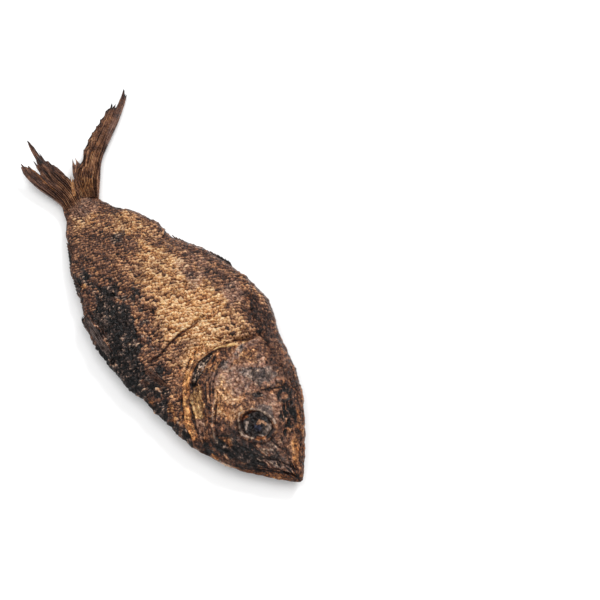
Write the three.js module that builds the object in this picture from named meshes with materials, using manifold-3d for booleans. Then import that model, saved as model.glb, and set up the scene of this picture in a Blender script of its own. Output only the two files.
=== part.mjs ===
// A whole smoked and dried fish, shaped like a bonga shad, lying on its left flank, right flank up.
// Millimetres, +Z up. The head points along +X and the back along +Y. The group's origin is under the
// middle of the fish's box, on the surface that it lies on.
//
// While it is built, the fish has its own frame: s is the distance behind the tip of the snout, y runs
// from keel to back, z from the left flank to the right one, and z = 0 is the middle plane of the head.
import * as THREE from "three";
import { mergeVertices } from "three/addons/utils/BufferGeometryUtils.js";
import Module from "manifold-3d";

// ---------------------------------------------------------------- driving dimensions
const BODY_LENGTH = 207; // snout to the end of the tail's root
const REST_DEPTH = 10.6; // from the middle plane down to the flat spot that the fish lies on
const STATIONS = 78; // sections from snout to tail
const ROUND = 36; // points round each section
const BACK_FULLNESS = 0.85; // under 1 a section is blunt at the back, over 1 it is sharp at the keel
const KEEL_FULLNESS = 1.45;
const WIDEST = 0.54; // height of a section's widest line, as a share of its depth
const SCALE_RELIEF = 0.45; // how far a scale's middle stands over its edges, each way
const SCUTE_RELIEF = 0.5; // the keel's saw edge, each way
const EDGE_MARGIN = 6; // scales fade out this near to the back and the keel

// Profiles along the fish, as [s, value].
const BACK = [[0, 1], [12, 11.5], [30, 24.6], [50, 34], [75, 41.4], [95, 46.4], [120, 42.3], [135, 36.6],
  [150, 29], [163, 26.2], [175, 22.4], [190, 13.3], [200, 9], [BODY_LENGTH, 5.5]];
const KEEL = [[0, -1], [10, -11.2], [24, -22.3], [45, -33], [70, -38], [112, -42.8], [128, -42.4], [140, -39.4],
  [161, -30.8], [180, -22.7], [190, -18.2], [198, -13], [BODY_LENGTH, -9.8]];
const HALF_WIDTH = [[0, 1.2], [8, 3.9], [25, 7.7], [45, 10.4], [80, 12.2], [105, 12], [130, 10.4],
  [160, 7.4], [185, 4.4], [BODY_LENGTH, 1.7]];
const SAG = [[0, -1.5], [35, 0], [125, 0], [165, -2], [190, -4], [205, -5], [BODY_LENGTH, -5]];

// The rear edge of the gill cover, as [y, s], from the throat up to the nape.
const GILL_EDGE = [[-36, 46], [-30, 59.5], [-22.5, 71], [-14.5, 78.3], [-5.5, 82], [5.5, 81.8], [16.5, 78.4],
  [28.7, 73.3]];
const GILL_LIP = 1.3; // how far the cover's edge stands over the flank
const GILL_SLIT = { radius: 0.9, depth: 0.5 };

const EYE = { s: 34.9, y: -2.6, ring: 8.5, rim: 0.85, ball: 6.8, bulge: 2, hollow: 1.8 };
const MOUTH = [[-0.5, 0.4], [7, -3.6], [13.8, -10.8], [21.2, -19], [29.4, -25]]; // [s, y] of the gape
const MOUTH_RADIUS = 0.75;

// ---------------------------------------------------------------- small helpers
const clamp = THREE.MathUtils.clamp;
const smooth = (low, high, v) => THREE.MathUtils.smoothstep(v, low, high);
const bump = (v, width) => Math.exp(-((v / width) ** 2));

// A smooth curve through [at, value] points that never overshoots them (a monotone cubic).
function through(points) {
  const n = points.length;
  const slope = (i) => (points[i + 1][1] - points[i][1]) / (points[i + 1][0] - points[i][0]);
  const tangents = points.map((_, i) => {
    if (i === 0 || i === n - 1) return slope(i === 0 ? 0 : n - 2);
    const [a, b] = [slope(i - 1), slope(i)];
    return a * b <= 0 ? 0 : (2 * a * b) / (a + b);
  });
  return (at) => {
    let i = 0;
    while (i < n - 2 && at > points[i + 1][0]) i++;
    const [x0, v0] = points[i];
    const [x1, v1] = points[i + 1];
    const h = x1 - x0;
    const t = clamp((at - x0) / h, 0, 1);
    const u = 1 - t;
    return v0 * (1 + 2 * t) * u * u + tangents[i] * h * t * u * u +
      v1 * t * t * (3 - 2 * t) - tangents[i + 1] * h * t * t * u;
  };
}

const back = through(BACK);
const keel = through(KEEL);
const halfWidth = through(HALF_WIDTH);
const sag = through(SAG);
const gillEdge = through(GILL_EDGE);

// ---------------------------------------------------------------- the flanks
const widestLine = (s) => keel(s) + WIDEST * (back(s) - keel(s));

// Half the fish's thickness at a point of the flank, before its relief.
function flank(s, y) {
  const middle = widestLine(s);
  const reach = y > middle ? back(s) - middle : middle - keel(s);
  const share = clamp(Math.abs(y - middle) / reach, 0, 1);
  return halfWidth(s) * Math.sqrt(1 - share * share) ** (y > middle ? BACK_FULLNESS : KEEL_FULLNESS);
}

// How far a point is inside the gill cover's rear edge, across the edge. Negative is behind it.
function insideGill(s, y) {
  const run = gillEdge(y + 0.5) - gillEdge(y - 0.5);
  return (gillEdge(y) - s) / Math.hypot(1, run);
}

// Relief of the flank, outwards: gill cover, eye socket, jaws, hollows of the dried flesh and long folds.
function relief(s, y) {
  const inside = insideGill(s, y);
  const onCover = smooth(-35, -31, y) * (1 - smooth(26, 33, y));
  let out = onCover * (GILL_LIP * smooth(-0.6, 1, inside) * (1 - smooth(8, 30, inside)));
  out -= onCover * 0.9 * bump(inside + 1.6, 1.6); // the groove behind the cover
  const fromEye = Math.hypot(s - EYE.s, y - EYE.y);
  out -= EYE.hollow * (1 - smooth(EYE.ring - 3, EYE.ring + 0.5, fromEye));
  out -= 0.9 * bump(s - 22, 7) * bump(y - 2, 6); // hollow in front of the eye
  const cover = smooth(2, 9, inside) * smooth(40, 48, s);
  const aslant = (y + 6.5) * 0.75 - (s - 61.4) * 0.66;
  out += cover * 0.7 * bump(aslant, 2.4); // the cover's lower ridge, and the groove under it
  out -= cover * 0.8 * bump(aslant + 3, 2.2);
  const behind = smooth(0, 12, -inside);
  out -= behind * 1.9 * bump(s - 118, 26) * bump(y + 17, 10); // the sunken belly
  out -= behind * 0.9 * bump(s - 99.6, 2.2) * smooth(-26, -18, y) * (1 - smooth(7, 12, y)); // a crease
  const alongNape = smooth(42, 52, s) * (1 - smooth(84, 100, s));
  out -= 0.8 * alongNape * bump(y - 0.12 * (s - 60) - 29, 2.2); // the nape's fold
  const long = Math.sin(0.13 * s + 0.21 * y + 1.1) * Math.sin(0.24 * y - 0.05 * s + 0.4);
  const short = Math.sin(0.31 * s - 0.17 * y) * Math.sin(0.11 * s + 0.33 * y + 2);
  return out + (0.45 * long + 0.35 * short) * smooth(12, 30, s); // waves of the shrunken flesh
}

// A point on the skin, put outwards of the flank by its relief. side is 1 on the upper flank, -1 on the lower.
function onFlank(s, y, side, lift = 0) {
  const z = sag(s) + side * (flank(s, y) + relief(s, y) + lift);
  return new THREE.Vector3(-s, y, Math.max(z, -REST_DEPTH + Math.max(lift, 0)));
}

// ---------------------------------------------------------------- closed shapes
function geometryOf(points, faces) {
  const made = new THREE.BufferGeometry().setFromPoints(points);
  made.setIndex(faces);
  return made;
}

// A closed skin over rings of points, each end drawn together in a fan.
function loft(rings) {
  const n = rings[0].length;
  const points = rings.flat();
  const faces = [];
  for (let i = 0; i + 1 < rings.length; i++)
    for (let j = 0; j < n; j++) {
      const k = (j + 1) % n;
      const [a, b, c, d] = [i * n + j, i * n + k, (i + 1) * n + k, (i + 1) * n + j];
      // Each scale is a small pyramid, so a quad is split between its two low corners.
      if ((i + j) % 2) faces.push(a, c, b, a, d, c);
      else faces.push(a, d, b, b, d, c);
    }
  [0, rings.length - 1].forEach((i) => {
    const centre = new THREE.Vector3();
    rings[i].forEach((p) => centre.addScaledVector(p, 1 / n));
    points.push(centre);
    for (let j = 0; j < n; j++) {
      const [a, b] = [i * n + j, i * n + ((j + 1) % n)];
      faces.push(...(i ? [b, a, points.length - 1] : [a, b, points.length - 1]));
    }
  });
  return geometryOf(points, faces);
}

// A closed plate between two grids of points of the same size.
function plate(top, bottom) {
  const [rows, cols] = [top.length, top[0].length];
  const points = [...top.flat(), ...bottom.flat()];
  const faces = [];
  const at = (i, j, lower) => lower * rows * cols + i * cols + j;
  const quad = (a, b, c, d) => faces.push(a, c, b, a, d, c);
  for (let i = 0; i + 1 < rows; i++)
    for (let j = 0; j + 1 < cols; j++) {
      quad(at(i, j, 0), at(i + 1, j, 0), at(i + 1, j + 1, 0), at(i, j + 1, 0));
      quad(at(i, j, 1), at(i, j + 1, 1), at(i + 1, j + 1, 1), at(i + 1, j, 1));
    }
  for (let i = 0; i + 1 < rows; i++) {
    quad(at(i, 0, 0), at(i, 0, 1), at(i + 1, 0, 1), at(i + 1, 0, 0));
    quad(at(i + 1, cols - 1, 0), at(i + 1, cols - 1, 1), at(i, cols - 1, 1), at(i, cols - 1, 0));
  }
  for (let j = 0; j + 1 < cols; j++) {
    quad(at(0, j + 1, 0), at(0, j + 1, 1), at(0, j, 1), at(0, j, 0));
    quad(at(rows - 1, j, 0), at(rows - 1, j, 1), at(rows - 1, j + 1, 1), at(rows - 1, j + 1, 0));
  }
  return geometryOf(points, faces);
}

// ---------------------------------------------------------------- head and trunk in one skin
function section(s) {
  const middle = widestLine(s);
  const outline = [];
  const fine = 48;
  for (let i = 0; i <= fine; i++) {
    const angle = (Math.PI * i) / fine;
    const up = Math.cos(angle);
    outline.push(new THREE.Vector2(
      middle + up * (up > 0 ? back(s) - middle : middle - keel(s)),
      halfWidth(s) * Math.sin(angle) ** (up > 0 ? BACK_FULLNESS : KEEL_FULLNESS),
    ));
  }
  return new THREE.SplineCurve(outline).getSpacedPoints(ROUND / 2);
}

function trunk() {
  const rings = [];
  for (let i = 0; i < STATIONS; i++) {
    const s = 0.4 + (BODY_LENGTH - 0.4) * (i / (STATIONS - 1));
    const half = section(s);
    const ring = [];
    for (let j = 0; j < ROUND; j++) {
      const upper = j <= ROUND / 2;
      const at = upper ? j : ROUND - j;
      const here = half[at];
      const [before, after] = [half[Math.max(at - 1, 0)], half[Math.min(at + 1, ROUND / 2)]];
      const outwards = at % (ROUND / 2) === 0
        ? new THREE.Vector2(at ? -1 : 1, 0)
        : new THREE.Vector2(after.y - before.y, before.x - after.x).normalize();
      const y = here.x;
      const fromEdge = Math.min(back(s) - y, y - keel(s));
      const scaled = smooth(0, 4, -insideGill(s, y)) * smooth(0, EDGE_MARGIN, fromEdge);
      const scale = SCALE_RELIEF * scaled * ((i + j) % 2 ? -1 : 1);
      const lift = at % (ROUND / 2) ? relief(s, y) + scale : at ? SCUTE_RELIEF * (i % 2 ? -1 : 1) : 0;
      const z = sag(s) + (upper ? 1 : -1) * (here.y + lift * outwards.y);
      ring.push(new THREE.Vector3(-s, y + lift * outwards.x, Math.max(z, -REST_DEPTH)));
    }
    rings.push(ring);
  }
  return loft(rings);
}

// ---------------------------------------------------------------- fins
// A fin of rays with skin between them, torn at the ends. Each ray is [root s, root y, tip s, tip y], and
// tears are the shares of a ray's length at which the skin beside it ends. lift gives the fin's height z at
// (s, y, share of the ray). thick and thin are half the thickness on a ray and between two of them. A fin on
// a flank is sunk into it by its root: side is 1 on the upper flank, -1 on the lower one, 0 on a free fin.
function fin({ rays, tears, bow = 0, thick = 0.8, thin = 0.4, steps = 6, side = 0, root = 1.8, lift }) {
  const columns = [];
  rays.forEach((ray, i) => {
    columns.push({ ray, reach: 1, half: thick });
    if (i + 1 < rays.length) {
      const between = ray.map((v, k) => (v + rays[i + 1][k]) / 2);
      columns.push({ ray: between, reach: tears[i % tears.length], half: thin });
    }
  });
  const grid = (face) => columns.map(({ ray: [s0, y0, s1, y1], reach, half }) => {
    const length = Math.hypot(s1 - s0, y1 - y0);
    const [across, along] = [-(y1 - y0) / length, (s1 - s0) / length];
    return Array.from({ length: steps + 1 }, (_, k) => {
      const t = (k / steps) * reach;
      const aside = bow * Math.sin(2 * Math.PI * t);
      const s = s0 + (s1 - s0) * t + across * aside;
      const y = y0 + (y1 - y0) * t + along * aside;
      const inner = side * face < 0;
      return new THREE.Vector3(-s, y, lift(s, y, t) + face * (inner ? root : half * (1 - 0.55 * t)));
    });
  });
  return plate(grid(1), grid(-1));
}

const TAIL_Z = sag(BODY_LENGTH);
// The upper lobe leans back towards the surface, and the lower one curls up a little.
const upperLobe = () => fin({
  rays: [[198.2, 9.2, 246.4, 61.4], [199.2, 8.9, 244.6, 56], [200.2, 8.1, 243, 50.6], [201.2, 7.2, 239, 41.2],
    [202.2, 6.2, 233.8, 34.2], [203.2, 5, 229.4, 27], [204, 3.8, 225.2, 20], [204.6, 2.6, 220.8, 11.8],
    [205, 1.4, 227, 13.8]],
  tears: [0.97, 0.92, 0.9, 0.93, 0.9, 0.92, 0.86, 0.7],
  bow: -1.8, thick: 1, thin: 0.55,
  lift: (s, y, t) => TAIL_Z - 2.6 * t * t,
});
const lowerLobe = () => fin({
  rays: [[204.4, 4.6, 220.6, 4.4], [204.4, 2.4, 231, -0.9], [203.4, 0.2, 250, -3], [202.4, -2.4, 238.6, -7.4],
    [201.4, -4.8, 238.6, -11], [200.2, -7.2, 241, -14.8], [199, -9.8, 238, -16.4]],
  tears: [0.9, 0.86, 0.66, 0.62, 0.93, 0.96],
  bow: 0.6, thick: 1, thin: 0.55,
  lift: (s, y, t) => TAIL_Z + 5 * t * t,
});

// Folded fins lie against the flank, and the unpaired ones along its edges.
const pelvicFin = (side) => fin({
  rays: [[117, -37, 149, -32.6], [117.5, -38.4, 151, -35], [118, -39.8, 146, -38.2],
    [118.5, -41, 140, -40.6]],
  tears: [0.9, 0.94, 0.9], steps: 5, thick: 1.3, thin: 0.8, side,
  lift: (s, y) => onFlank(s, y, side).z,
});
const pectoralFin = (side) => fin({
  rays: [[82, -20.5, 108, -24], [82.5, -22.5, 111, -28], [82, -24.5, 107, -31.6]],
  tears: [0.92, 0.88], steps: 5, thick: 1.3, thin: 0.8, side,
  lift: (s, y) => onFlank(s, y, side).z,
});

// Rays lying nearly flat along the back or the keel, from s = front to s = rear.
function foldedFin(edge, front, rear, count, slope, height) {
  const rays = Array.from({ length: count }, (_, i) => {
    const s = front + ((rear - front) * i) / (count - 1);
    const tip = s + slope;
    const outwards = Math.sign(edge(s));
    return [s, edge(s) - outwards * 2, tip, edge(tip) + outwards * height(i / (count - 1))];
  });
  return fin({
    rays: edge(front) > 0 ? rays : rays.reverse(),
    tears: [0.86, 0.94, 0.8], steps: 3, thick: 0.85, thin: 0.5,
    lift: (s) => sag(s),
  });
}
const dorsalFin = () => foldedFin(back, 112, 146, 10, 11, (t) => 2.2 - 0.7 * t);
const analFin = () => foldedFin(keel, 150, 181, 9, 7, (t) => 1.7 - 0.5 * t);

// ---------------------------------------------------------------- eyes, gape and gill slits
// Turned so that its own Z stands square to the flank at the eye.
function atEye(geometry, side, lift) {
  const step = 3;
  const [fore, aft] = [onFlank(EYE.s - step, EYE.y, side), onFlank(EYE.s + step, EYE.y, side)];
  const [low, high] = [onFlank(EYE.s, EYE.y - step, side), onFlank(EYE.s, EYE.y + step, side)];
  const normal = fore.sub(aft).cross(high.sub(low)).multiplyScalar(side).normalize();
  const turn = new THREE.Quaternion().setFromUnitVectors(new THREE.Vector3(0, 0, 1), normal);
  const base = flank(EYE.s, EYE.y) + lift;
  return geometry.applyQuaternion(turn).translate(-EYE.s, EYE.y, sag(EYE.s) + side * base);
}
// The eye that the fish lies on is pressed in.
const eyeLift = (side) => (side > 0 ? -0.1 : -1.3);
const eyeRing = (side) => atEye(new THREE.TorusGeometry(EYE.ring, EYE.rim, 5, 22), side, eyeLift(side));
function eyeBall(side) {
  const ball = new THREE.SphereGeometry(EYE.ball, 12, 8).scale(1, 0.9, EYE.bulge / EYE.ball);
  return atEye(ball.translate(1, 0.5, 0), side, eyeLift(side) - 1.5);
}

// A round rod along a curve, with both ends closed.
function rod(points, radius, steps) {
  const profile = new THREE.Shape().absarc(0, 0, radius, 0, 2 * Math.PI);
  return new THREE.ExtrudeGeometry(profile, {
    steps, curveSegments: 3, extrudePath: new THREE.CatmullRomCurve3(points),
  });
}
const gillSlit = (side) => rod(
  GILL_EDGE.slice(1).map(([y, s]) => onFlank(s + 1.1, y, side, -GILL_SLIT.depth)), GILL_SLIT.radius, 14,
);
const gape = () => rod([
  ...MOUTH.slice(1).reverse().map(([s, y]) => onFlank(s, y, 1, -0.1)),
  new THREE.Vector3(-MOUTH[0][0], MOUTH[0][1], sag(0)),
  ...MOUTH.slice(1).map(([s, y]) => onFlank(s, y, -1, -0.1)),
], MOUTH_RADIUS, 22);

// ---------------------------------------------------------------- one solid
const wasm = await Module();
wasm.setup();

function solidOf(geometry) {
  const bare = geometry.index ? geometry.toNonIndexed() : geometry.clone();
  bare.deleteAttribute("normal");
  bare.deleteAttribute("uv");
  const merged = mergeVertices(bare, 1e-4);
  return new wasm.Manifold(new wasm.Mesh({
    numProp: 3,
    vertProperties: merged.attributes.position.array,
    triVerts: new Uint32Array(merged.index.array),
  }));
}

function fishGeometry() {
  const sides = [1, -1];
  const joined = [trunk(), upperLobe(), lowerLobe(), dorsalFin(), analFin(),
    ...sides.flatMap((side) => [pelvicFin(side), pectoralFin(side)])];
  const cut = [gape(), ...sides.map(gillSlit)];
  const eyes = sides.flatMap((side) => [eyeRing(side), eyeBall(side)]);
  let solid = joined.map(solidOf).reduce((whole, piece) => whole.add(piece));
  solid = cut.map(solidOf).reduce((whole, piece) => whole.subtract(piece), solid);
  solid = eyes.map(solidOf).reduce((whole, piece) => whole.add(piece), solid);
  const { numProp, numVert, vertProperties, triVerts } = solid.getMesh();
  const position = new Float32Array(numVert * 3);
  for (let i = 0; i < numVert; i++)
    position.set(vertProperties.subarray(i * numProp, i * numProp + 3), i * 3);
  return new THREE.BufferGeometry()
    .setAttribute("position", new THREE.BufferAttribute(position, 3))
    .setIndex(new THREE.BufferAttribute(triVerts, 1));
}

const smokedSkin = new THREE.MeshStandardMaterial({ color: 0x6b4a2f, roughness: 0.5, metalness: 0 });
const fish = new THREE.Mesh(fishGeometry(), smokedSkin);
fish.name = "fish";
fish.geometry.computeBoundingBox();
const box = fish.geometry.boundingBox;
fish.position.set(-(box.min.x + box.max.x) / 2, -(box.min.y + box.max.y) / 2, -box.min.z);

const group = new THREE.Group();
group.add(fish);

export default group;
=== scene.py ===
import functools
import itertools
import math

import bpy
import numpy as np
from mathutils import Matrix, Vector


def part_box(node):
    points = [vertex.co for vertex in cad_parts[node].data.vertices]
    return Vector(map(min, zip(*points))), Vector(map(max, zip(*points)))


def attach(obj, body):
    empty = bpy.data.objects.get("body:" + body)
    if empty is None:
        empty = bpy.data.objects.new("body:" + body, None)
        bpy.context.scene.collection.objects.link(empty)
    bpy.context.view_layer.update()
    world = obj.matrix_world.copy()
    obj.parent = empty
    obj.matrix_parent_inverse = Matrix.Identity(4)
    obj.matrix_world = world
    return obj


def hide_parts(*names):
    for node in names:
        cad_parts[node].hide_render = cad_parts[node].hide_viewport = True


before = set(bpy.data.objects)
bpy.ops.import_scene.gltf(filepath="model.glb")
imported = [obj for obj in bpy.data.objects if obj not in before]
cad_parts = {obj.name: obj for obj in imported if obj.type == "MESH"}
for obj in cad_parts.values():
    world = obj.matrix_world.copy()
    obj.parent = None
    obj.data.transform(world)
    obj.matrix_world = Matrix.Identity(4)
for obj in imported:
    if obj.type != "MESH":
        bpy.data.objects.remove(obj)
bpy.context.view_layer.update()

FISH_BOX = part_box("fish")

# A smoked fish in its own frame, in millimetres: s is the distance behind the snout, x = -s, y runs from
# keel to back, and z = 0 is the middle plane of the head. PLACE moves that frame into the row's.
BODY = 210.0  # from the snout to the root of the tail fin
TAIL_END, TAIL_TOP = 250.0, 61.4  # how far the tail fin reaches behind the snout, and up
REST_DEPTH = 10.6  # from the middle plane down to what the fish lies on
PLACE = np.array([FISH_BOX[0][0] * 1000 + TAIL_END, FISH_BOX[1][1] * 1000 - TAIL_TOP, REST_DEPTH])

# Outlines of the back and the keel as (s, y), half the thickness and the sideways bend as (s, mm), and
# the gill cover's rear edge as (y, s).
BACK = [(0, 0.9), (4, 4.6), (11, 10.5), (18, 16.7), (26, 21.8), (34, 26.8), (46, 33), (56, 36.2), (66, 38.2),
        (76, 41.8), (86, 45.8), (94, 46.7), (108, 44.7), (121, 41.9), (133, 37.5), (146, 30.4), (156, 27.1),
        (163, 26.7), (170, 23.6), (177, 21.2), (182, 18.0), (190, 11.8), (199, 8.2), (204, 6.0), (208, 1.2),
        (BODY, -3.6)]
KEEL = [(0, -0.9), (4, -4.9), (10, -10.9), (17, -16.8), (25, -22.2), (36, -28.8), (46, -33.2), (57, -35.8),
        (70, -37.6), (86, -39.8), (96, -42), (104, -43.2), (112, -43.5), (128, -42.2), (140, -39.0),
        (150, -35.2), (161, -30.5), (170, -27.8), (180, -22.6), (190, -18), (198, -12.8), (206, -10.2),
        (209, -7.4), (BODY, -4.4)]
HALF_WIDTH = [(0, 1.2), (8, 3.9), (25, 7.7), (45, 10.4), (80, 12.2), (105, 12), (130, 10.4), (160, 7.4),
              (185, 4.4), (196, 2.6), (203, 1.5), (BODY, 0.5)]
SAG = [(0, -1.5), (35, 0), (125, 0), (165, -2), (190, -4), (205, -5), (BODY, -5.1)]
GILL_EDGE = [(-36, 46), (-30, 59.5), (-22.5, 71), (-14.5, 78.3), (-5.5, 82), (5.5, 81.8), (16.5, 78.4),
             (28.7, 73.3)]
WIDEST = 0.54  # where a section is widest, as a share of its height
BACK_FULLNESS, KEEL_FULLNESS = 0.85, 1.45  # powers that make the back full and the keel sharp

AZIMUTH, ELEVATION, DISTANCE = math.radians(52.27), math.radians(70), 771.6  # of the camera
AIM = np.array([-79.55, 60.57, 0.0])
TOWARDS = np.array([math.sin(AZIMUTH) * math.cos(ELEVATION), -math.cos(AZIMUTH) * math.cos(ELEVATION),
                    math.sin(ELEVATION)])
VIEW = AIM + TOWARDS * DISTANCE  # marks on the flank are noted down as they are seen from here

EYE = (38.0, -0.3)
EYE_RADIUS = 8.1
EYE_MARKS = (-0.9, 0.7)  # how far the marks in and around the eye are from where they are noted down
EYE_LOWER_RIM = [(-47.6, -1.2), (-47.4, -3.4), (-46.4, -5.6), (-43.9, -8.1), (-39.8, -10), (-37.4, -9.9),
                 (-34.2, -8.4), (-30.8, -5.6)]
EYE_UPPER_RIM = [(-47.2, 1), (-44.9, 3), (-42.8, 5), (-38.2, 7), (-34.4, 7.7), (-31, 6.8)]

FLANKS = ((True, 1, "right"), (False, -1, "left"))  # whether it lies up, its side of z, its name
STATIONS = 430
HALF_RING = 222  # steps from back to keel on one flank


# ------------------------------------------------------------------------------------ small maths
def through(points):
    """A smooth curve through the points that never overshoots them."""
    xs = np.array([p[0] for p in points], float)
    vs = np.array([p[1] for p in points], float)
    h = np.diff(xs)
    d = np.diff(vs) / h
    m = np.zeros(len(xs))
    m[0], m[-1] = d[0], d[-1]
    with np.errstate(divide="ignore", invalid="ignore"):
        m[1:-1] = np.where(d[:-1] * d[1:] > 0, 2 * d[:-1] * d[1:] / (d[:-1] + d[1:]), 0)

    def at(x):
        x = np.asarray(x, float)
        i = np.clip(np.searchsorted(xs, x) - 1, 0, len(h) - 1)
        t = np.clip((x - xs[i]) / h[i], 0, 1)
        u = 1 - t
        return (vs[i] * (1 + 2 * t) * u * u + m[i] * h[i] * t * u * u
                + vs[i + 1] * t * t * (3 - 2 * t) - m[i + 1] * h[i] * t * t * u)
    return at


back, keel, half_width, sag, gill_edge = map(through, (BACK, KEEL, HALF_WIDTH, SAG, GILL_EDGE))


def step(low, high, v):
    """0 at low and 1 at high, with soft ends."""
    t = np.clip((v - low) / (high - low), 0, 1)
    return t * t * (3 - 2 * t)


def bump(v, width):
    """1 at 0, with a soft fall on both sides."""
    return np.exp(-(v / width) ** 2)


def mix(a, b, t):
    return a + (b - a) * t


SCATTER = [np.uint32(v) for v in (374761393, 668265263, 873357470, 3266489917)]  # for x, y, z and the seed
STIR = [np.uint32(v) for v in (1274126177, 2246822519)]


def hashed(ix, iy, iz, seed):
    """A steady pseudo-random number from 0 to 1 for each whole-number cell."""
    with np.errstate(over="ignore"):
        x, y, z = (i.astype(np.uint32) * by for i, by in zip((ix, iy, iz), SCATTER))
        h = x + y + z + np.uint32(seed) * SCATTER[3]
        h = (h ^ (h >> np.uint32(13))) * STIR[0]
        h = (h ^ (h >> np.uint32(16))) * STIR[1]
        h ^= h >> np.uint32(13)
    return h.astype(np.float64) / 2.0 ** 32


def drawn(i, seed):
    """A steady pseudo-random number from 0 to 1 for each whole part of i."""
    whole = np.floor(i).astype(np.int64) & 0xFFFF
    return hashed(whole, whole * 0, whole * 0, seed)


def corners(low, high):
    """The steps along x, y and z to each neighbour of a cell."""
    return itertools.product(range(low, high + 1), repeat=3)


def noise(p, size, seed=0):
    """Smooth noise from -1 to 1 with lumps of about this size, in mm. p is (..., 3)."""
    q = p / size
    f = np.floor(q)
    t = q - f
    t = t * t * t * (t * (t * 6 - 15) + 10)
    i = f.astype(np.int64) & 0xFFFFFFFF
    out = 0
    for corner in corners(0, 1):
        weight = 1.0
        for k, far in enumerate(corner):
            weight = weight * (t[..., k] if far else 1 - t[..., k])
        out = out + weight * hashed(*(i[..., k] + corner[k] for k in range(3)), seed)
    return out * 2 - 1


def summed(p, size, octaves, seed, seed_step, gain, shape):
    """The mean of noise with finer and finer lumps, each weighing gain times the one before."""
    out, amount, total = 0, 1.0, 0.0
    for k in range(octaves):
        out = out + amount * shape(noise(p, size / 2 ** k, seed + seed_step * k))
        total += amount
        amount *= gain
    return out / total


def layered(p, size, octaves, seed=0, gain=0.5):
    """Rough noise, mostly from -1 to 1."""
    return summed(p, size, octaves, seed, 17, gain, lambda v: v) * 1.4


def creased(p, size, octaves, seed=0):
    """Sharp ridges near 1 with broad hollows near 0."""
    return np.clip(summed(p, size, octaves, seed, 31, 0.5, lambda v: 1 - np.abs(v) * 2.2), -0.4, 1)


def cells(p, size, seed=0):
    """Distance to the nearest of scattered points, in cells, and a number for that point."""
    q = p / size
    base = np.floor(q).astype(np.int64)
    near = np.full(q.shape[:-1], 9.0)
    number = np.zeros_like(near)
    for corner in corners(-1, 1):
        c = base + np.array(corner)
        i = c & 0xFFFFFFFF
        place = [hashed(i[..., 0], i[..., 1], i[..., 2], seed + k) for k in range(3)]
        d = np.sqrt(sum((q[..., k] - c[..., k] - place[k]) ** 2 for k in range(3)))
        number = np.where(d < near, (place[0] * 7.13 + place[1] * 3.7) % 1, number)
        near = np.minimum(near, d)
    return near, number


def between(v, low, low_end, high, high_end):
    """Rises from 0 to 1 between the first two values and falls back between the last two."""
    return step(low, low_end, v) * (1 - step(high, high_end, v))


def most(*fields):
    """The greatest of several fields at each place."""
    return functools.reduce(np.maximum, fields)


def along(x, y, points):
    """Distance from a polyline, signed by its side, and the share of its length."""
    best = np.full(x.shape, 1e9)
    sign = np.ones(x.shape)
    share = np.zeros(x.shape)
    pts = np.array(points, float)
    seg = np.diff(pts, axis=0)
    length = np.hypot(seg[:, 0], seg[:, 1])
    start = np.concatenate([[0], np.cumsum(length)[:-1]])
    for (px, py), (vx, vy), n, s0 in zip(pts[:-1], seg, length, start):
        t = np.clip(((x - px) * vx + (y - py) * vy) / (n * n), 0, 1)
        ex, ey = x - px - t * vx, y - py - t * vy
        d = np.hypot(ex, ey)
        closer = d < best
        best = np.where(closer, d, best)
        sign = np.where(closer, np.sign(vx * ey - vy * ex) + (vx * ey == vy * ex), sign)
        share = np.where(closer, (s0 + t * n) / length.sum(), share)
    return best, sign, share


def shown(x, y, z):
    """Where a point of height z is seen from VIEW, on the middle plane."""
    k = VIEW[2] / (VIEW[2] - z)
    return VIEW[0] + (x - VIEW[0]) * k, VIEW[1] + (y - VIEW[1]) * k


def seen(x, y, z):
    """The point of height z that is seen from VIEW at x, y of the middle plane."""
    k = (VIEW[2] - z) / VIEW[2]
    return VIEW[0] + (x - VIEW[0]) * k, VIEW[1] + (y - VIEW[1]) * k, z


def blob(x, y, cx, cy, rx, ry, turn=0.0, soft=0.35):
    """1 inside an ellipse, 0 outside it, with a soft edge."""
    c, n = math.cos(math.radians(turn)), math.sin(math.radians(turn))
    u, v = (x - cx) * c + (y - cy) * n, -(x - cx) * n + (y - cy) * c
    return 1 - step(1 - soft, 1 + soft, np.hypot(u / rx, v / ry))


# ------------------------------------------------------------------------------------ the plain flank
FIRST_RING = 0.25  # behind the snout's tip
CROWDED = 0.06  # how much closer the rings are at the snout
SECTION_ANGLES = 420


def widest_line(s):
    return keel(s) + WIDEST * (back(s) - keel(s))


def rings():
    """Points of the plain body, evenly round each section: s, y, half thickness, arc from the widest line."""
    t = np.linspace(0, 1, STATIONS)
    s = FIRST_RING + (BODY - FIRST_RING) * (t * (1 - CROWDED) + CROWDED * t * t)
    angle = np.linspace(0, math.pi, SECTION_ANGLES)
    up = np.cos(angle)
    fullness = np.where(up > 0, BACK_FULLNESS, KEEL_FULLNESS)
    middle = widest_line(s)[:, None]
    y = middle + up * np.where(up > 0, back(s)[:, None] - middle, middle - keel(s)[:, None])
    w = half_width(s)[:, None] * np.abs(np.sin(angle)) ** fullness
    arc = np.concatenate([np.zeros((STATIONS, 1)), np.cumsum(np.hypot(np.diff(y), np.diff(w)), 1)], 1)
    k = np.linspace(0, 1, HALF_RING + 1)
    ys, ws, arcs = (np.empty((STATIONS, HALF_RING + 1)) for _ in range(3))
    for i in range(STATIONS):
        at = k * arc[i, -1]
        ys[i], ws[i] = np.interp(at, arc[i], y[i]), np.interp(at, arc[i], w[i])
        arcs[i] = np.interp(middle[i, 0], y[i, ::-1], arc[i, ::-1]) - at
    return s, ys, ws, arcs


def inside_gill(s, y):
    """Distance from the gill cover's rear edge, positive on the head's side."""
    run = gill_edge(y + 0.5) - gill_edge(y - 0.5)
    return (gill_edge(y) - s) / np.hypot(1, run)


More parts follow.
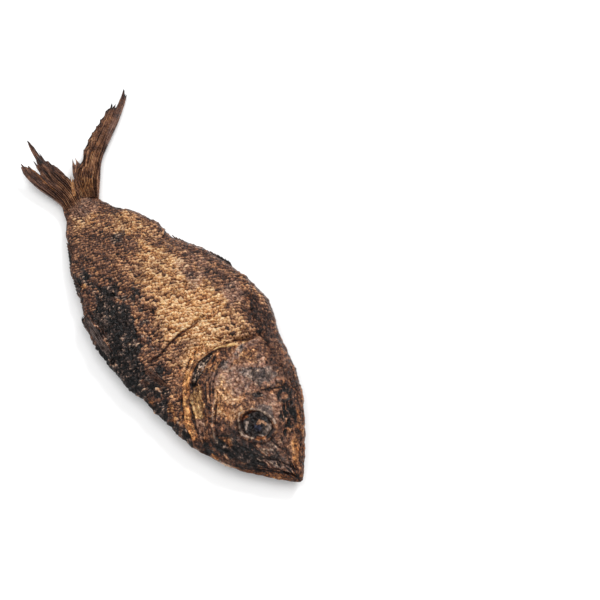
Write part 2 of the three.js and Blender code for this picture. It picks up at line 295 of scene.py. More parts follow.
# ------------------------------------------------------------------------------------ scales
# the scales are largest at the middle of the trunk and get smaller towards the tail
LARGEST_AT, LARGE_REACH = 110.0, 42.0
SCALE_LONG, EXTRA_LONG = 1.7, 0.7
SCALE_ROW, EXTRA_ROW = 1.35, 0.5
# half a scale's length and breadth, in steps from scale to scale and from row to row
SCALE_REACH = (0.66, 0.9)
SCALE_TILT = 0.55
# how far a scale is out of its place, along, across and in height: amount, and turns for each step and row
OUT_OF_PLACE = ((0.3, 12.9, 7.7), (0.36, 5.3, 17.1), (0.48, 9.1, 3.7))
ROWS_BELOW = 200  # keeps the rows' numbers above 0


def lanes(s, a, p, seed):
    """Where a place is among the scales: steps from the snout and rows from the widest line."""
    ss = s + 1.2 * noise(p, 7, seed + 5) + 0.6 * noise(p, 2.8, seed + 7)
    aa = a + 1.2 * noise(p, 8, seed + 6) + 0.55 * noise(p, 2.8, seed + 8) + 0.02 * (s - 90)
    length = np.arange(-10.0, 230.0, 0.5)
    gone = np.cumsum(0.5 / (SCALE_LONG + EXTRA_LONG * bump(length - LARGEST_AT, LARGE_REACH)))
    row = SCALE_ROW + EXTRA_ROW * bump(s - LARGEST_AT, LARGE_REACH)
    return np.interp(ss, length, gone), aa / row + ROWS_BELOW


def scales(steps, rows, seed):
    """Overlapping scales, free at their rear edge: their height from 0 to about 1, a number for each scale,
    and its dome."""
    top = np.full(steps.shape, -9.0)
    number, dome = np.zeros(steps.shape), np.zeros(steps.shape)
    for k in (0, 1):
        row = np.floor(rows).astype(np.int64) + k
        half = (row & 1) * 0.5
        col = np.round(steps - half).astype(np.int64)
        back_by, up_by, raised = (amount * np.sin(u * col + v * row) for amount, u, v in OUT_OF_PLACE)
        ds, da = steps - half - col - back_by, rows - row - up_by
        cap = 1 - (ds / SCALE_REACH[0]) ** 2 - (da / SCALE_REACH[1]) ** 2
        height = cap + SCALE_TILT * ds + raised
        higher = height > top
        top = np.where(higher, height, top)
        number = np.where(higher, hashed(col & 0xFFFF, row & 0xFFFF, row & 0, seed), number)
        dome = np.where(higher, cap, dome)
    return np.clip(top, 0, 1.1), number, np.clip(dome, 0, 1)


# ------------------------------------------------------------------------------------ relief and masks
# Height under which the belly is charred, as (s, y) seen from VIEW.
CHAR_LINE = through([
    (40, -27), (54, -31.5), (66, -30.5), (76, -28), (86, -25), (96, -24), (108, -23), (116, -20),
    (122, -14.5), (128, -12.5), (140, -13), (154, -13.5), (163, -20), (174, -28), (205, -38)])

# Patches of a colour: middle x and y seen from VIEW, half its length and breadth, turn in degrees, strength.
GOLD_RIGHT = [
    (-110, 10, 18, 19, 0, 0.95), (-137, 4, 17, 9, 0, 0.62), (-176, 12, 11, 7, -10, 0.55),
    (-154, 11, 9, 6, 0, 0.65), (-187, -6, 9, 8, 0, 0.4), (-160, -15, 8, 4, 0, 0.35),
    (-90, 4, 7, 17, 5, 0.6), (-139, 14, 17, 8, 0, 0.55), (-165, 18, 8, 4, 12, 0.4), (-80, 22, 5, 7, 0, 0.4),
    (-59, -2, 7, 8, 0, 0.5), (-77, -2, 4, 8, -38, 0.35), (-67, -17.5, 9, 3.5, -22, 0.75),
    (-58, -23, 9, 2.5, -28, 0.3), (-65, 5, 10, 8, 0, 0.52), (-48, -3.5, 5, 7, 10, 0.6),
    (-72, 15, 4, 7, 0, 0.4), (-100, -18, 10, 6, 0, 0.3), (-54, -9, 6, 5.5, 0, 0.72),
    (-88, 21, 6, 12, 0, 0.35), (-13, 6, 9, 3.2, -38, 0.15)]
GOLD_LEFT = [
    (-120, 8, 28, 17, 0, 0.85), (-165, 3, 22, 10, -8, 0.6), (-60, 2, 11, 11, 0, 0.6),
    (-88, -6, 7, 13, 0, 0.5), (-47, 12, 7, 7, 0, 0.4)]
GREY = [
    (-40, 12, 13, 5, -12, 0.85), (-64, 9, 10, 9, 0, 0.85), (-135, 21, 8, 4.5, 0, 0.5),
    (-150, -31, 10, 4, -25, 1.3), (-45, 0, 22, 22, 0, 0.5), (-53, 23, 4, 4, 0, 0.9),
    (-106, 34, 9, 6.5, 0, 0.7), (-131, 31, 15, 5, 22, 0.55), (-86, 36, 8, 4, 12, 0.5),
    (-74.5, 20, 2.4, 12, -3, 0.85), (-72.5, 3, 2.4, 9, 20, 0.85), (-59.5, 18, 10, 5.5, 52, 1.6),
    (-64, 23, 5, 4, 0, 0.9), (-41, 8.5, 6, 3.6, 15, 1.5), (-198, 0, 8, 9, 0, 0.75),
    (-124, 23, 5, 9, 18, 0.6), (-19, -4, 11, 7.5, 35, 0.95), (-124, -38, 15, 4, -8, 0.7),
    (-176, -14, 10, 6, -30, 0.35), (-36, -13, 12, 4, 20, 0.8), (-40, 20, 9, 5, -35, 0.4),
    (-60, -23, 13, 3.6, -28, 0.7), (-17, -2, 9, 4, 10, 1.6), (-24, 5, 8, 3, -20, 0.6)]
AMBER = [
    (-82.5, -12.5, 2, 6, 30, 0.7), (-66, -29, 6, 1.6, -30, 0.7), (-60, 33, 19, 1.8, 3, 0.35),
    (-25, 17.2, 12, 1.3, -38, 0.7), (-14, 7.5, 8, 2.6, -36, 0.9), (-29.2, -4, 1.4, 3, -25, 0.9),
    (-44.6, -3, 0.9, 3, 0, 0.8), (-41, -19, 6, 2.4, 22, 0.6), (-21, -19.4, 5, 1.1, 43, 0.9),
    (-17, -13, 4, 2.4, 45, 0.6), (-33, -27.6, 13, 1.2, 24, 0.8), (-5, 0.5, 4, 2, -20, 0.6),
    (-157, -28.6, 2.4, 1.5, 0, 1.0), (-160, -17, 5, 2.2, 0, 0.5), (-81, -37, 4, 1.8, 0, 0.6),
    (-70, -32, 6, 1.8, -10, 0.7), (-112, 44, 8, 2, 0, 0.5), (-77, -3, 2.4, 9, -38, 0.5),
    (-54, 25, 4, 3, 0, 0.3)]
DUSK = [
    (-175, -10, 12, 9, 0, 0.95), (-138, -11, 21, 3.6, 0, 0.55), (-21, -2, 15, 9, 40, 0.4),
    (-140, 32.5, 9, 3.2, 28, 0.9), (-157, 27, 12, 2.6, 12, 0.8), (-169, 1, 13, 4.4, 37, 1.0),
    (-120, 31, 10, 4, 12, 0.45), (-161, -17, 19, 7, -8, 0.95), (-148, 0, 7, 4, 0, 0.45),
    (-187, 11, 9, 4, 33, 0.85), (-196, 0, 6, 7, 0, 0.45), (-60, 31, 14, 4.5, -17, 0.8),
    (-33, 20, 11, 3.6, -36, 0.7), (-50, -14.5, 5, 3.5, 0, 0.75), (-124, 37, 12, 3.4, 18, 0.75),
    (-68, 35.5, 30, 4.0, -15, 0.85), (-87, 40, 10, 4.5, -8, 0.75), (-41, 17, 5, 4, 0, 0.5),
    (-30, 21, 12, 3, -36, 0.5), (-30, 6, 7, 8, 0, 0.6), (-34, -13, 17, 8, 22, 0.95),
    (-126, 20, 4, 9, 15, 0.25), (-83, 24, 3, 7, -20, 0.4), (-64, 28, 10, 3, 0, 0.7),
    (-97, -22, 9, 7, 0, 0.6), (-165, -6, 6, 12, 0, 0.5), (-146, 14, 4, 9, 20, 0.4),
    (-95, -5, 4.5, 9, 0, 0.5), (-125, 10, 7, 5, 0, 0.35), (-114, -11, 8, 5, 0, 0.45),
    (-105, -20, 6, 5, 0, 0.65), (-84, -21, 3, 5, 0, 0.5), (-75, -31, 6, 3, -20, 0.7),
    (-155, 20, 8, 4, 15, 0.55), (-179, 10, 9, 4, 10, 0.45), (-119, 32, 12, 5, 16, 0.6),
    (-94, 32, 6, 4, -8, 0.4), (-149, 29, 8, 3.4, 25, 0.75), (-62, -31, 12, 3, -16, 0.65),
    (-176, -20, 6, 4.5, -30, 0.85), (-155, -20, 6, 4, 0, 0.85)]

# Lines of the head, as x, y seen from VIEW.
GILL_SLIT_TOP = [(-77.3, 28), (-79, 24.5), (-82, 20.4), (-84.4, 16)]
GILL_SLIT = [(-81, 14.5), (-83.4, 9.8), (-84.7, 5), (-85.4, -1), (-84.6, -6.5)]
GILL_OPENING = [(-84.0, 3.6), (-83.2, -1.6), (-81.2, -6.2), (-78.6, -10.4), (-76.4, -13.6)]
STRAW_STRIP = [(-79.6, 18.4), (-82.2, 14), (-84.6, 9.4), (-86, 5.4)]
COVER_BONE = [(-80.5, 10), (-77.5, 1), (-71.5, -7.5), (-64, -13), (-54, -18.5)]
PLATE_EDGE = [(-67, -3), (-64, -6.7), (-58, -12.4), (-51, -18.3), (-45, -21)]
AMBER_STRIP = [(-85, -9.5), (-80, -16), (-71, -22.4), (-62.5, -27.8), (-55, -29.8), (-49, -30.5)]
MOUTH = [(0.5, 0.8), (-7.5, -3.2), (-14.5, -10.2), (-22, -18.4), (-30, -24.4)]
LIP_FOLDS = [([(-4, 0.2), (-12, -4.2), (-20, -12.2), (-27, -18.2)], 0.7),
             ([(-7, 2.2), (-16, -2.0), (-25, -10)], 0.5)]
NAPE_FOLD = [(-108, 42.5), (-95, 39.5), (-84, 32.5), (-66, 31), (-40, 27)]
BROW_CRACK = {True: [(-44.6, 26), (-46.6, 22), (-49.4, 17.5), (-52.4, 12.2)],
              False: [(-50, 24), (-53, 17), (-56, 8)]}
# Cracks of the trunk on each flank: line, depth, darkness.
CRACKS = {
    True: [([(-103.6, 13), (-103, 2), (-103.2, -7), (-100.3, -23)], 1.1, 0.9),
           ([(-98.5, 12.6), (-91, 12.4)], 0.4, 0.35), ([(-157.5, 27), (-155.6, 23.5)], 0.8, 1),
           ([(-93, 30), (-87, 25), (-80, 22)], 0.6, 0.4), ([(-94, -4), (-90, -12), (-91, -20)], 0.5, 0.35)],
    False: [([(-118, 22), (-116, 6), (-119, -9)], 0.9, 0.7), ([(-140, 10), (-129, 8.5)], 0.6, 0.4),
            ([(-92, -14), (-90, -26)], 0.8, 0.6)]}
BURST = {True: (-171, 4, 3.2, 5, 20), False: (-151, -4, 5, 4)}
RIDGE_LEVEL = 0.35  # the height of ridged noise that neither raises nor sinks the skin


def patches(x, y, table, soft=0.45):
    """How strong a colour is, from its table of patches."""
    out = np.zeros(x.shape)
    for cx, cy, rx, ry, turn, level in table:
        out = np.maximum(out, level * blob(x, y, cx, cy, rx, ry, turn, soft))
    return out


def turned(p, degrees, stretch):
    """Points turned in the flank's plane and squeezed, so that noise on them runs in streaks that way."""
    c, n = math.cos(math.radians(degrees)), math.sin(math.radians(degrees))
    u, v = p[..., 0] * c + p[..., 1] * n, -p[..., 0] * n + p[..., 1] * c
    return np.stack([u / stretch, v, p[..., 2]], -1)


def dressed(s, y_true, w, a, p, upper):
    """Everything that stands on the plain flank, as height in mm, and the masks that colour it."""
    seed = 100 if upper else 900
    to_back, to_keel = back(s) - y_true, y_true - keel(s)
    x, y = shown(-s, y_true, w + sag(s))
    wob, wob2 = layered(p, 9, 3, seed + 11), layered(p, 4, 3, seed + 12)
    xw = x + 2.6 * wob + 1.2 * wob2
    yw = y + 2.6 * layered(p, 8, 3, seed + 13) + 1.2 * layered(p, 3, 2, seed + 14)
    inside = inside_gill(s, y_true)
    on_cover = between(y_true, -20, -15, 24, 31)
    head = step(-0.3, 0.6, inside)
    head = np.where(y_true > 28.7, step(0, 5, 73.3 - s + (y_true - 28.7) * 0.2), head)
    head = np.maximum(head, 1 - step(0, 6, s - 60 + 0.9 * (y_true + 38)))
    trunk = 1 - head
    h = np.zeros(s.shape)
    gap = np.zeros(s.shape)

    def spot(*where):
        """A patch with a wandering edge."""
        return blob(xw, yw, *where)

    def cut(depth, width, distance, dark, where=1.0):
        """A groove, with painted shade along it."""
        nonlocal h, gap
        line = bump(distance, width) * where
        h = h - depth * line
        gap = np.maximum(gap, dark * line)

    def ridged(across, down, number, size=1.0, octaves=2, third=0.0):
        """Ridges that run along lines of equal across."""
        return creased(np.stack([across, down, third + 0 * s], -1), size, octaves, seed + number)

    def paint_ridge_highlights(where, base, gain, ridges, more=0.0):
        """Sets a place's tone and paints highlights along its ridges."""
        nonlocal tip
        tip = mix(tip, np.clip(base + gain * ridges + 0.3 * grain + more, 0, 1), where)

    def rule(where, ridges, relief, share, base, gain, more=0.0):
        """Raises ridges and lights them."""
        nonlocal h
        h = h + relief * where * (ridges - RIDGE_LEVEL)
        paint_ridge_highlights(where * share, base, gain, ridges, more)

    # waves, hollows and folds that the plain solid has too
    long = np.sin(0.13 * s + 0.21 * y_true + 1.1) * np.sin(0.24 * y_true - 0.05 * s + 0.4)
    short = np.sin(0.31 * s - 0.17 * y_true) * np.sin(0.11 * s + 0.33 * y_true + 2)
    h += (0.45 * long + 0.35 * short) * step(12, 30, s)
    h -= step(0, 12, -inside) * 1.9 * bump(s - 118, 26) * bump(y_true + 17, 10)
    h -= 0.9 * bump(s - 22, 7) * bump(y_true - 2, 6)
    h += 0.4 * layered(p, 5, 2, seed + 43)
    grain = layered(p, 1.6, 3, seed + 31)
    near, lump = cells(p, 2.0, seed + 33)
    dome = np.clip(1 - near / 0.72, -0.4, 1)
    # where a groove is deep, and where it is nearly closed
    broken = step(-0.5, 0.5, layered(p, 5, 2, seed + 34))

    # gill cover: a thick lip over a slit that opens towards the throat, with a straw-coloured strip along it
    h += on_cover * 1.25 * between(inside, -0.5, 0.35, 8, 30)
    low = 1 - step(0, 8, y)
    cut(0.9, 0.7, inside + 0.5 * wob2 + 0.8, 0.6 + 0.1 * low,
        on_cover * mix(0.6, 1, broken) * (1 - 0.4 * low))
    h -= on_cover * 0.8 * bump(inside + 2.6, 2)
    off, _, share = along(x + 0.3 * wob2, y, GILL_SLIT_TOP)
    cut(0.9, 0.95, off, 0.8, between(share, 0, 0.15, 0.8, 1))
    off, _, share = along(x + 0.25 * wob2, y, STRAW_STRIP)
    tapered = 0.25 + 0.75 * np.sin(np.pi * share)
    strip = (1 - step(0.7, 1.1, off / (1.3 * tapered))) * between(share, 0, 0.08, 0.92, 1)
    h += 0.8 * strip
    off, _, share = along(x + 0.2 * wob2, y, GILL_SLIT)
    cut(1.1, 0.5, off, 1.0, between(share, 0, 0.2, 0.85, 1))
    off, side, share = along(x, y, GILL_OPENING)
    open_half = 0.3 + 2.3 * np.sin(np.pi * (share * 0.8 + 0.1))
    opening = 1 - step(0.75, 1.15, (off + 0.35 * wob2) / open_half)
    h -= 1.2 * opening
    silver = ridged(off * side, share * 5, 62)
    h += 0.7 * opening * silver
    cut(0.9, 1.5, np.hypot(x + 76.3, (y + 14.1) * 0.9) + 0.3 * wob2, 1.0)
    # streaks that follow the cover's rear bone
    off, side, share = along(x, y, COVER_BONE)
    bone_streaks = ridged(off * side / 1.25 + 0.3 * wob2, share * 6, 64)
    by_bone = head * (1 - step(2.6, 4.6, off)) * between(share, 0, 0.12, 0.8, 1)

    # scales
    steps, rows = lanes(s, a, p, seed)
    sc, number, cap = scales(steps, rows, seed)
    char_edge = y - CHAR_LINE(-x) + 7.5 * wob + 4.2 * wob2 + 3.0 * (number - 0.5) * trunk
    char = 1 - step(-6.5, 6, char_edge)
    spared = layered(p, 5.0, 3, seed + 45) + 0.3 * (number - 0.5) + 0.5 * bump(x + 94, 13) - 0.2
    char *= 1 - 0.6 * step(0.15, 0.6, spared) * step(-20, -6, char_edge)
    char *= 1 - 0.7 * spot(-150, -31, 10, 4, -25)
    singed = 1 - step(-3, 7, char_edge)  # brown around the char, and where it spared the skin
    edge_fade = step(0.3, 4, np.minimum(to_back, to_keel))
    flat = step(0.3, 0.8, layered(p, 12, 2, seed + 21))  # rubbed places where the scales lie flat
    flat = np.maximum(flat, 0.8 * spot(-113, 1, 8, 8))
    scaled = trunk * step(0.6, 3, -inside) * mix(0.45, 1, edge_fade) * (1 - 0.6 * char) * (1 - 0.35 * flat)
    scaled *= 1 - 0.7 * step(192, 206, s)
    folded = step(0, 2, -inside) * (1 - step(5.5, 9, -inside + wob2)) * between(y, -30, -20, -2, 8) * trunk
    napes = spot(-88, 37.5, 22, 6, -7, 0.4) * trunk
    scaled *= (1 - 0.75 * folded) * (1 - 0.5 * napes)
    h += 0.52 * scaled * sc
    tip_scale = np.clip(0.5 + 0.25 * grain, 0, 1)
    # a painted highlight on each lump's dome; grain and each lump's number give the skin's own tone
    tip_lump = np.clip(0.48 + 0.22 * dome + 0.36 * (lump - 0.5) + 0.4 * grain, 0, 1)
    tip = mix(tip_lump, tip_scale, np.clip(scaled * 1.5, 0, 1))
    rule(folded, ridged(inside / 1.5 + 0.4 * wob2, y / 9, 69), 0.5, 0.8, 0.3, 0.7)
    rule(napes, ridged(to_back / 1.7 + 0.4 * wob2, s / 11, 70), 0.55, 0.8, 0.06, 0.7)
    rule(by_bone, bone_streaks, 0.45, 0.85, 0.2, 0.75)
    gap = np.maximum(gap, 0.4 * by_bone * step(0.5, 1, 0.8 - bone_streaks))
    h += 0.42 * head * np.clip(dome, 0, 1) * step(16, 32, s) + mix(0.16, 0.26, head) * grain

    # charred skin: blisters, ridges and pits
    blister_near, blister_number = cells(p, 3.0, seed + 35)
    blister = np.clip(1 - blister_near / 0.7, -0.5, 1)
    burnt_ridges = mix(creased(turned(p, -32, 2.4), 2.2, 2, seed + 41), creased(p, 2.4, 2, seed + 47), 0.45)
    blistered = np.clip(blister, -0.2, 1) * blister_number
    h += char * trunk * (0.75 * (burnt_ridges - RIDGE_LEVEL) + blistered)
    h += 0.25 * char * layered(p, 1.3, 2, seed + 42)
    pits = step(0.42, 0.8, layered(p, 2.4, 2, seed + 44))
    pits = pits * most(0.12 + 0 * s, 0.75 * char, 0.3 * head * step(30, 44, s))
    h -= 0.7 * pits
    # painted shade in the pits
    gap = np.maximum(gap, 0.8 * pits)
    # painted sheen: the char's ridges and blisters are lighter
    burnt_tip = 0.04 + 0.62 * burnt_ridges + 0.4 * np.clip(blister, 0, 1) * blister_number
    burnt_tip = burnt_tip + 0.4 * tip * number ** 2 + 0.25 * grain
    tip = mix(tip, np.clip(burnt_tip, 0, 1), char * trunk * 0.85)

    # folded fin pressed against the belly's edge: fine lines that run with the keel
    press = blob(x, y, -131, -38.2, 15, 5.2, -8, 0.3) * trunk
    lined = ridged((y + 38 + 0.12 * (x + 131)) / 1.05 + 0.35 * wob2, (x + 131) / 14, 65)
    h += 0.3 * press
    # painted shade between the fin's fine lines, and painted highlights on them
    gap = mix(gap, 0.75 * step(0.45, 0.95, 0.75 - lined), press)
    rule(press, lined, 0.5, 0.9, 0.16, 0.85)

    # wrinkles of the head that run together at the snout
    radius, angle = np.hypot(x - 3, y + 1), np.arctan2(y + 1, 3 - x)
    wrinkles = ridged((angle + 0.05 * wob) * 21, radius / 6.5 + 0.4 * wob2, 56, 1.7, 3, 0.15 * p[..., 2])
    over_eye = y - 1.5 + 0.125 * (x + 8)
    front = (1 - step(40, 54, -x)) * head * (1 - 0.75 * step(-1, 3, over_eye + 0.8 * wob))
    h += 0.55 * front * (wrinkles - RIDGE_LEVEL) * step(2, 8, s)
    # painted shade between the wrinkles and painted highlights on their ridges
    gap = np.maximum(gap, 0.75 * front * step(0.45, 0.95, 0.75 - wrinkles))
    paint_ridge_highlights(front * 0.8, -0.02, 0.85, wrinkles, 0.2 * (lump - 0.5))

    # eye socket with its raised ring
    ex, ey = x + EYE[0], y - EYE[1]
    round_eye = np.arctan2(ey, ex)
    r_eye = np.hypot((ex * 0.94 + ey * 0.34) * 0.87, (ey * 0.94 - ex * 0.34) * 0.98) + 0.4 * wob2
    r_eye = r_eye + 0.3 * np.sin(3 * round_eye + 0.8) + 0.2 * np.sin(5 * round_eye)
    h *= 1 - 0.7 * (1 - step(7, 9.5, r_eye))
    h -= 2.6 * (1 - step(5.9, 7.6, r_eye))
    h += bump(r_eye - 8.8, 0.6) * (0.35 + 0.3 * wob)
    cut(0.4, 0.8, r_eye - 7.2, 0.8, mix(0.15, 1, step(-0.5, 0.3, -np.cos(round_eye - 0.5))))
    cut(0.3, 0.5, r_eye - 10.0, 0.5, step(-0.3, 0.4, wob))
    # painted shade inside the eye socket
    gap = np.maximum(gap, 0.8 * (1 - step(6, 7.5, r_eye)))
    rim = 0
    for line, width in ((EYE_LOWER_RIM, 1.15), (EYE_UPPER_RIM, 0.95)):
        off, side, share = along(x - EYE_MARKS[0] + 0.4 * wob2, y - EYE_MARKS[1] + 0.4 * grain, line)
        rim = np.maximum(rim, bump(off, width * (1 + 0.2 * wob2)) * between(share, 0, 0.06, 0.94, 1))
        cut(0.3, 0.5, off * side + 1.5, 0.5, between(share, 0.05, 0.2, 0.8, 1) * broken)
    h += 0.9 * rim * (0.8 + 0.5 * grain)
    gap = gap * (1 - 0.9 * rim)
    below_eye = step(-0.2, 0.5, -np.sin(round_eye + 0.35))
    near_orbit = between(r_eye, 9.3, 10.2, 13, 17) * below_eye * head
    rule(near_orbit, ridged(r_eye / 1.5 + 0.3 * wob2, round_eye * 2.2, 66), 0.4, 0.8, 0.28, 0.8)

    # cover plates: groove before the cover, fan of streaks under it
    off, side, share = along(x, y, PLATE_EDGE)
    before_plate = off * side
    drawn_out = head * step(0.02, 0.2, share)
    # a raised ridge before the plate's groove, with a painted highlight on it
    plate_ridge_highlight = bump(before_plate - 0.9, 0.45) * drawn_out * (1 - step(0.6, 0.8, share)) * mix(0.3, 1, broken)
    h += 0.3 * plate_ridge_highlight
    cut(0.8, 0.5, off + 0.3 * wob2, 0.75, drawn_out * mix(0.4, 1, broken))
    cut(0.5, 0.35, before_plate - 1.9 + 0.4 * wob2, 0.4, drawn_out * (1 - broken))
    tip = np.clip(tip + 0.2 * plate_ridge_highlight, 0, 1)
    under = head * step(0, 2.5, -(y + 13.5 + (x + 66) * 0.62)) * between(-x, 40, 50, 76, 82)
    fan_down = (y + 14) * 0.92 + (x + 75) * 0.42 + 0.5 * wob2
    streaks = ridged((x + 75) * 0.10 + 0.6 * wob, fan_down, 48, 1.5)
    rule(under, streaks, 0.5, 0.85, 0.26, 0.62)

    # smooth amber strip under the cover's edge
    off, side, share = along(x + 0.5 * wob2, y + 0.5 * wob, AMBER_STRIP)
    amber_strip = (1 - step(0.8, 2.1, off)) * between(share, 0, 0.1, 0.9, 1)
    amber_glow = (1 - step(1.3, 2.8, off)) * between(share, 0, 0.1, 0.9, 1)
    h += 0.5 * amber_strip
    cut(0.6, 0.6, off * side + 2.4, 0.7, between(share, 0.1, 0.2, 0.85, 1) * broken)
    paint_ridge_highlights(0.8 * amber_strip, 0.86, 0.4, streaks, 0.3 * (lump - 0.5))

    # brow: a crack, a pit and wrinkled bone above the eye
    off, side, share = along(x + 0.6 * wob2, y, BROW_CRACK[upper])
    cut(1.0, 0.42, off, 1.0, 1 - 0.5 * step(0.9, 1, share))
    h += 0.4 * bump(off * side - 1.1, 0.7)
    cut(0.9, 0.9, np.hypot(x + 51.4, y - 10.9) + 0.3 * wob2, 0.95)
    wandering = np.stack([wob2, wob, 0 * wob], -1)
    skull = spot(-35, 18.5, 14, 5, -36, 0.6)
    skull_ridges = creased(turned(p, -36, 1.25) + 0.7 * wandering, 2.0, 3, seed + 51)
    forehead = head * step(2, 7, over_eye) * (1 - step(48, 60, -x)) * step(3, 9, s)
    forehead_ridges = creased(turned(p, -33, 2.6) + 0.5 * wandering, 1.5, 3, seed + 74)
    h += 0.4 * forehead * (1 - skull) * (forehead_ridges - RIDGE_LEVEL)
    paint_ridge_highlights(forehead * 0.75, 0.32, 0.5, forehead_ridges, 0.2 * wob)
    # painted shade between the skull's ridges, and painted highlights on them
    gap = np.maximum(gap, skull * 0.7 * step(0.45, 0.9, 0.8 - skull_ridges))
    spots = np.clip(dome, 0, 1) * step(0.55, 0.75, lump)
    rule(skull, skull_ridges, 0.8, 0.85, 0.06, 0.7, 0.55 * spots)
    smooth = spot(-15.5, 7, 8, 3.2, -38)
    tip = np.clip(tip + 0.12 * smooth, 0, 1)
    top_strip = bump(to_back - 2.4, 1.8) * between(s, 4, 10, 46, 60)
    rule(top_strip, ridged(to_back / 1.1 + 0.3 * wob2, s / 9, 67), 0.35, 0.85, 0.15, 0.8)

    # jaws and charred cheek
    cheek = spot(-33, -17.0, 17, 6.5, 26, 0.5)
    off, side, share = along(x, y, MOUTH)
    below = off * side
    cut(0.6, 0.4, off, 0.7, between(share, 0, 0.08, 0.8, 1))
    jaw = step(0.3, 0.9, below) * (1 - step(34, 44, -x)) * head
    h += 0.45 * jaw * bump(below - 1.9, 1.3)
    rule(jaw, ridged(below / 1.2, share * 5, 68), 0.25, 0.85, 0.22, 0.55, 0.3 * step(0.45, 0.8, share))
    gap *= 1 - 0.7 * jaw * step(0.9, 1.4, below)
    for line, depth in LIP_FOLDS:
        off, side, share = along(x + 0.4 * wob2, y + 0.4 * wob, line)
        h += depth * bump(off * side, 0.6) * (1 - step(0.85, 1, share))
        cut(0.5 * depth, 0.45, off * side - 1.2, 0.8, 1 - step(0.8, 1, share))

    # folds of the nape, cracks and burst places of the trunk
    off, side, share = along(mix(x, xw, 0.4), mix(y, yw, 0.4), NAPE_FOLD)
    cut(0.7, 0.7, off, 0.55, step(0.0, 0.15, share) * mix(0.3, 1, broken))
    h += 0.6 * bump(off * side - 2.0, 1.2) + 0.3 * bump(off * side - 4.6, 0.9)
    for line, depth, dark in CRACKS[upper]:
        off, side, _ = along(mix(x, xw, 0.35), mix(y, yw, 0.35), line)
        cut(depth, 0.65, off, dark, mix(0.4, 1, broken))
        # a ridge beside each crack, with a painted highlight on it
        ridge = bump(off * side + 1.5, 0.9) * trunk
        h += 0.5 * ridge
        tip = np.clip(tip + 0.25 * ridge, 0, 1)
    burst = spot(*BURST[upper])
    h -= 0.6 * burst
    tip = np.clip(tip + 0.12 * spot(-40, 12, 13, 5, -12) + 0.18 * spot(-66, 6, 5.5, 8, 0, 0.6), 0, 1)

    # saw edge of the keel, ragged edge of the back
    saw = (s / 3.4 + 0.3 * wob) % 1
    scute = between(s, 56, 66, 150, 165) * mix(0.3, 1, step(-0.4, 0.5, wob))
    h += bump(to_keel, 1.4) * scute * (0.7 * saw - 0.35 + 0.6 * wob2) * 0.8
    h += bump(to_back, 2.2) * 0.35 * layered(p, 3, 2, seed + 61) * step(60, 80, s)

    # where each colour is
    gold = patches(xw, yw, GOLD_RIGHT if upper else GOLD_LEFT) * (1 - char) * (1 - 0.8 * singed * trunk)
    fleck = step(0.72, 0.86, number + 0.14 * step(-7, 0, char_edge)) * scaled * char * step(0.3, 0.8, cap)
    # charred places, and painted shade in the gill opening and the brow pit
    char_and_hole_shade = most(
        char * (1 - 0.8 * fleck), cheek * 0.85, 0.75 * skull * (1 - step(0.1, 0.55, skull_ridges)),
        blob(x, y, -50.8, 9.9, 3.2, 1.4, 52, 0.5),
        0.85 * bump(np.hypot(x + 42, y - 20.7) + 0.6 * wob2 - 3.0, 1.1),
        0.55 * burst, opening, 0.3 * spot(-87, 40, 10, 3.6, -8))
    char_and_hole_shade = char_and_hole_shade * (1 - 0.8 * jaw) * (1 - 0.8 * amber_strip)
    dusk = most(patches(xw, yw, DUSK), 0.7 * bump(to_back, 3.4) * step(60, 90, s), 0.7 * bump(to_keel, 5.5),
                0.85 * singed * trunk)
    bared = most(spot(-18, -7, 7, 6, 30, 0.6), 0.7 * spot(-22, -2, 6, 4, 0, 0.6))
    # painted highlights on the snout's wrinkles
    snout_wrinkle_highlight = mix(0.35, 0.75, bared) * front * step(0.5, 0.75, wrinkles) * step(-0.6, 0.1, wob + bared)
    # pale ash-grey places round the eye, in the gill opening, by the plate and along the chin, and painted
    # highlights on the plate's ridge and the snout's wrinkles
    ash_and_highlight = most(
        rim * np.clip(0.8 + 0.5 * grain, 0, 1), 1.3 * opening * step(0.25, 0.6, silver), 0.5 * plate_ridge_highlight,
        0.6 * bump(before_plate + 1.5, 0.9) * drawn_out,
        0.8 * bump(to_keel - 0.2, 0.7) * between(s, 22, 30, 46, 53), snout_wrinkle_highlight * (1 - jaw))
    creases = most(0.75 * head * (1 - 0.5 * gold) * step(11, 13, r_eye), 0.6 * char, 0.8 * napes,
                   0.7 * folded)
    return h, dict(
        gold=gold, char=char_and_hole_shade * (1 - 0.55 * press), dusk=most(dusk * (1 - jaw), 0.8 * jaw), ash_and_highlight=ash_and_highlight,
        pale=strip,
        grey=most(patches(xw, yw, GREY) * (1 - jaw), press),
        amber=most(patches(xw, yw, AMBER, 0.6), 0.7 * jaw, 0.7 * fleck, amber_glow),
        olive=1.2 * spot(-67.5, -18.6, 9.5, 3.8, -26) * head,
        creases=np.clip(creases * (1 - 0.5 * strip), 0, 1),
        sleek=most(smooth, 0.8 * strip, 0.6 * press, 0.7 * rim, 0.75 * head * (1 - gold), 0.5 * char),
        gap=np.clip(gap, 0, 1), tip=np.clip(tip, 0, 1), number=mix(lump, number, np.clip(scaled * 1.3, 0, 1)),
        steps=steps, rows=rows, scaled=np.clip(scaled * 1.4, 0, 1))


# ------------------------------------------------------------------------------------ meshes
def to_row(p):
    """From the fish's frame in millimetres to the row's in metres."""
    return (np.asarray(p, float) + PLACE) / 1000.0


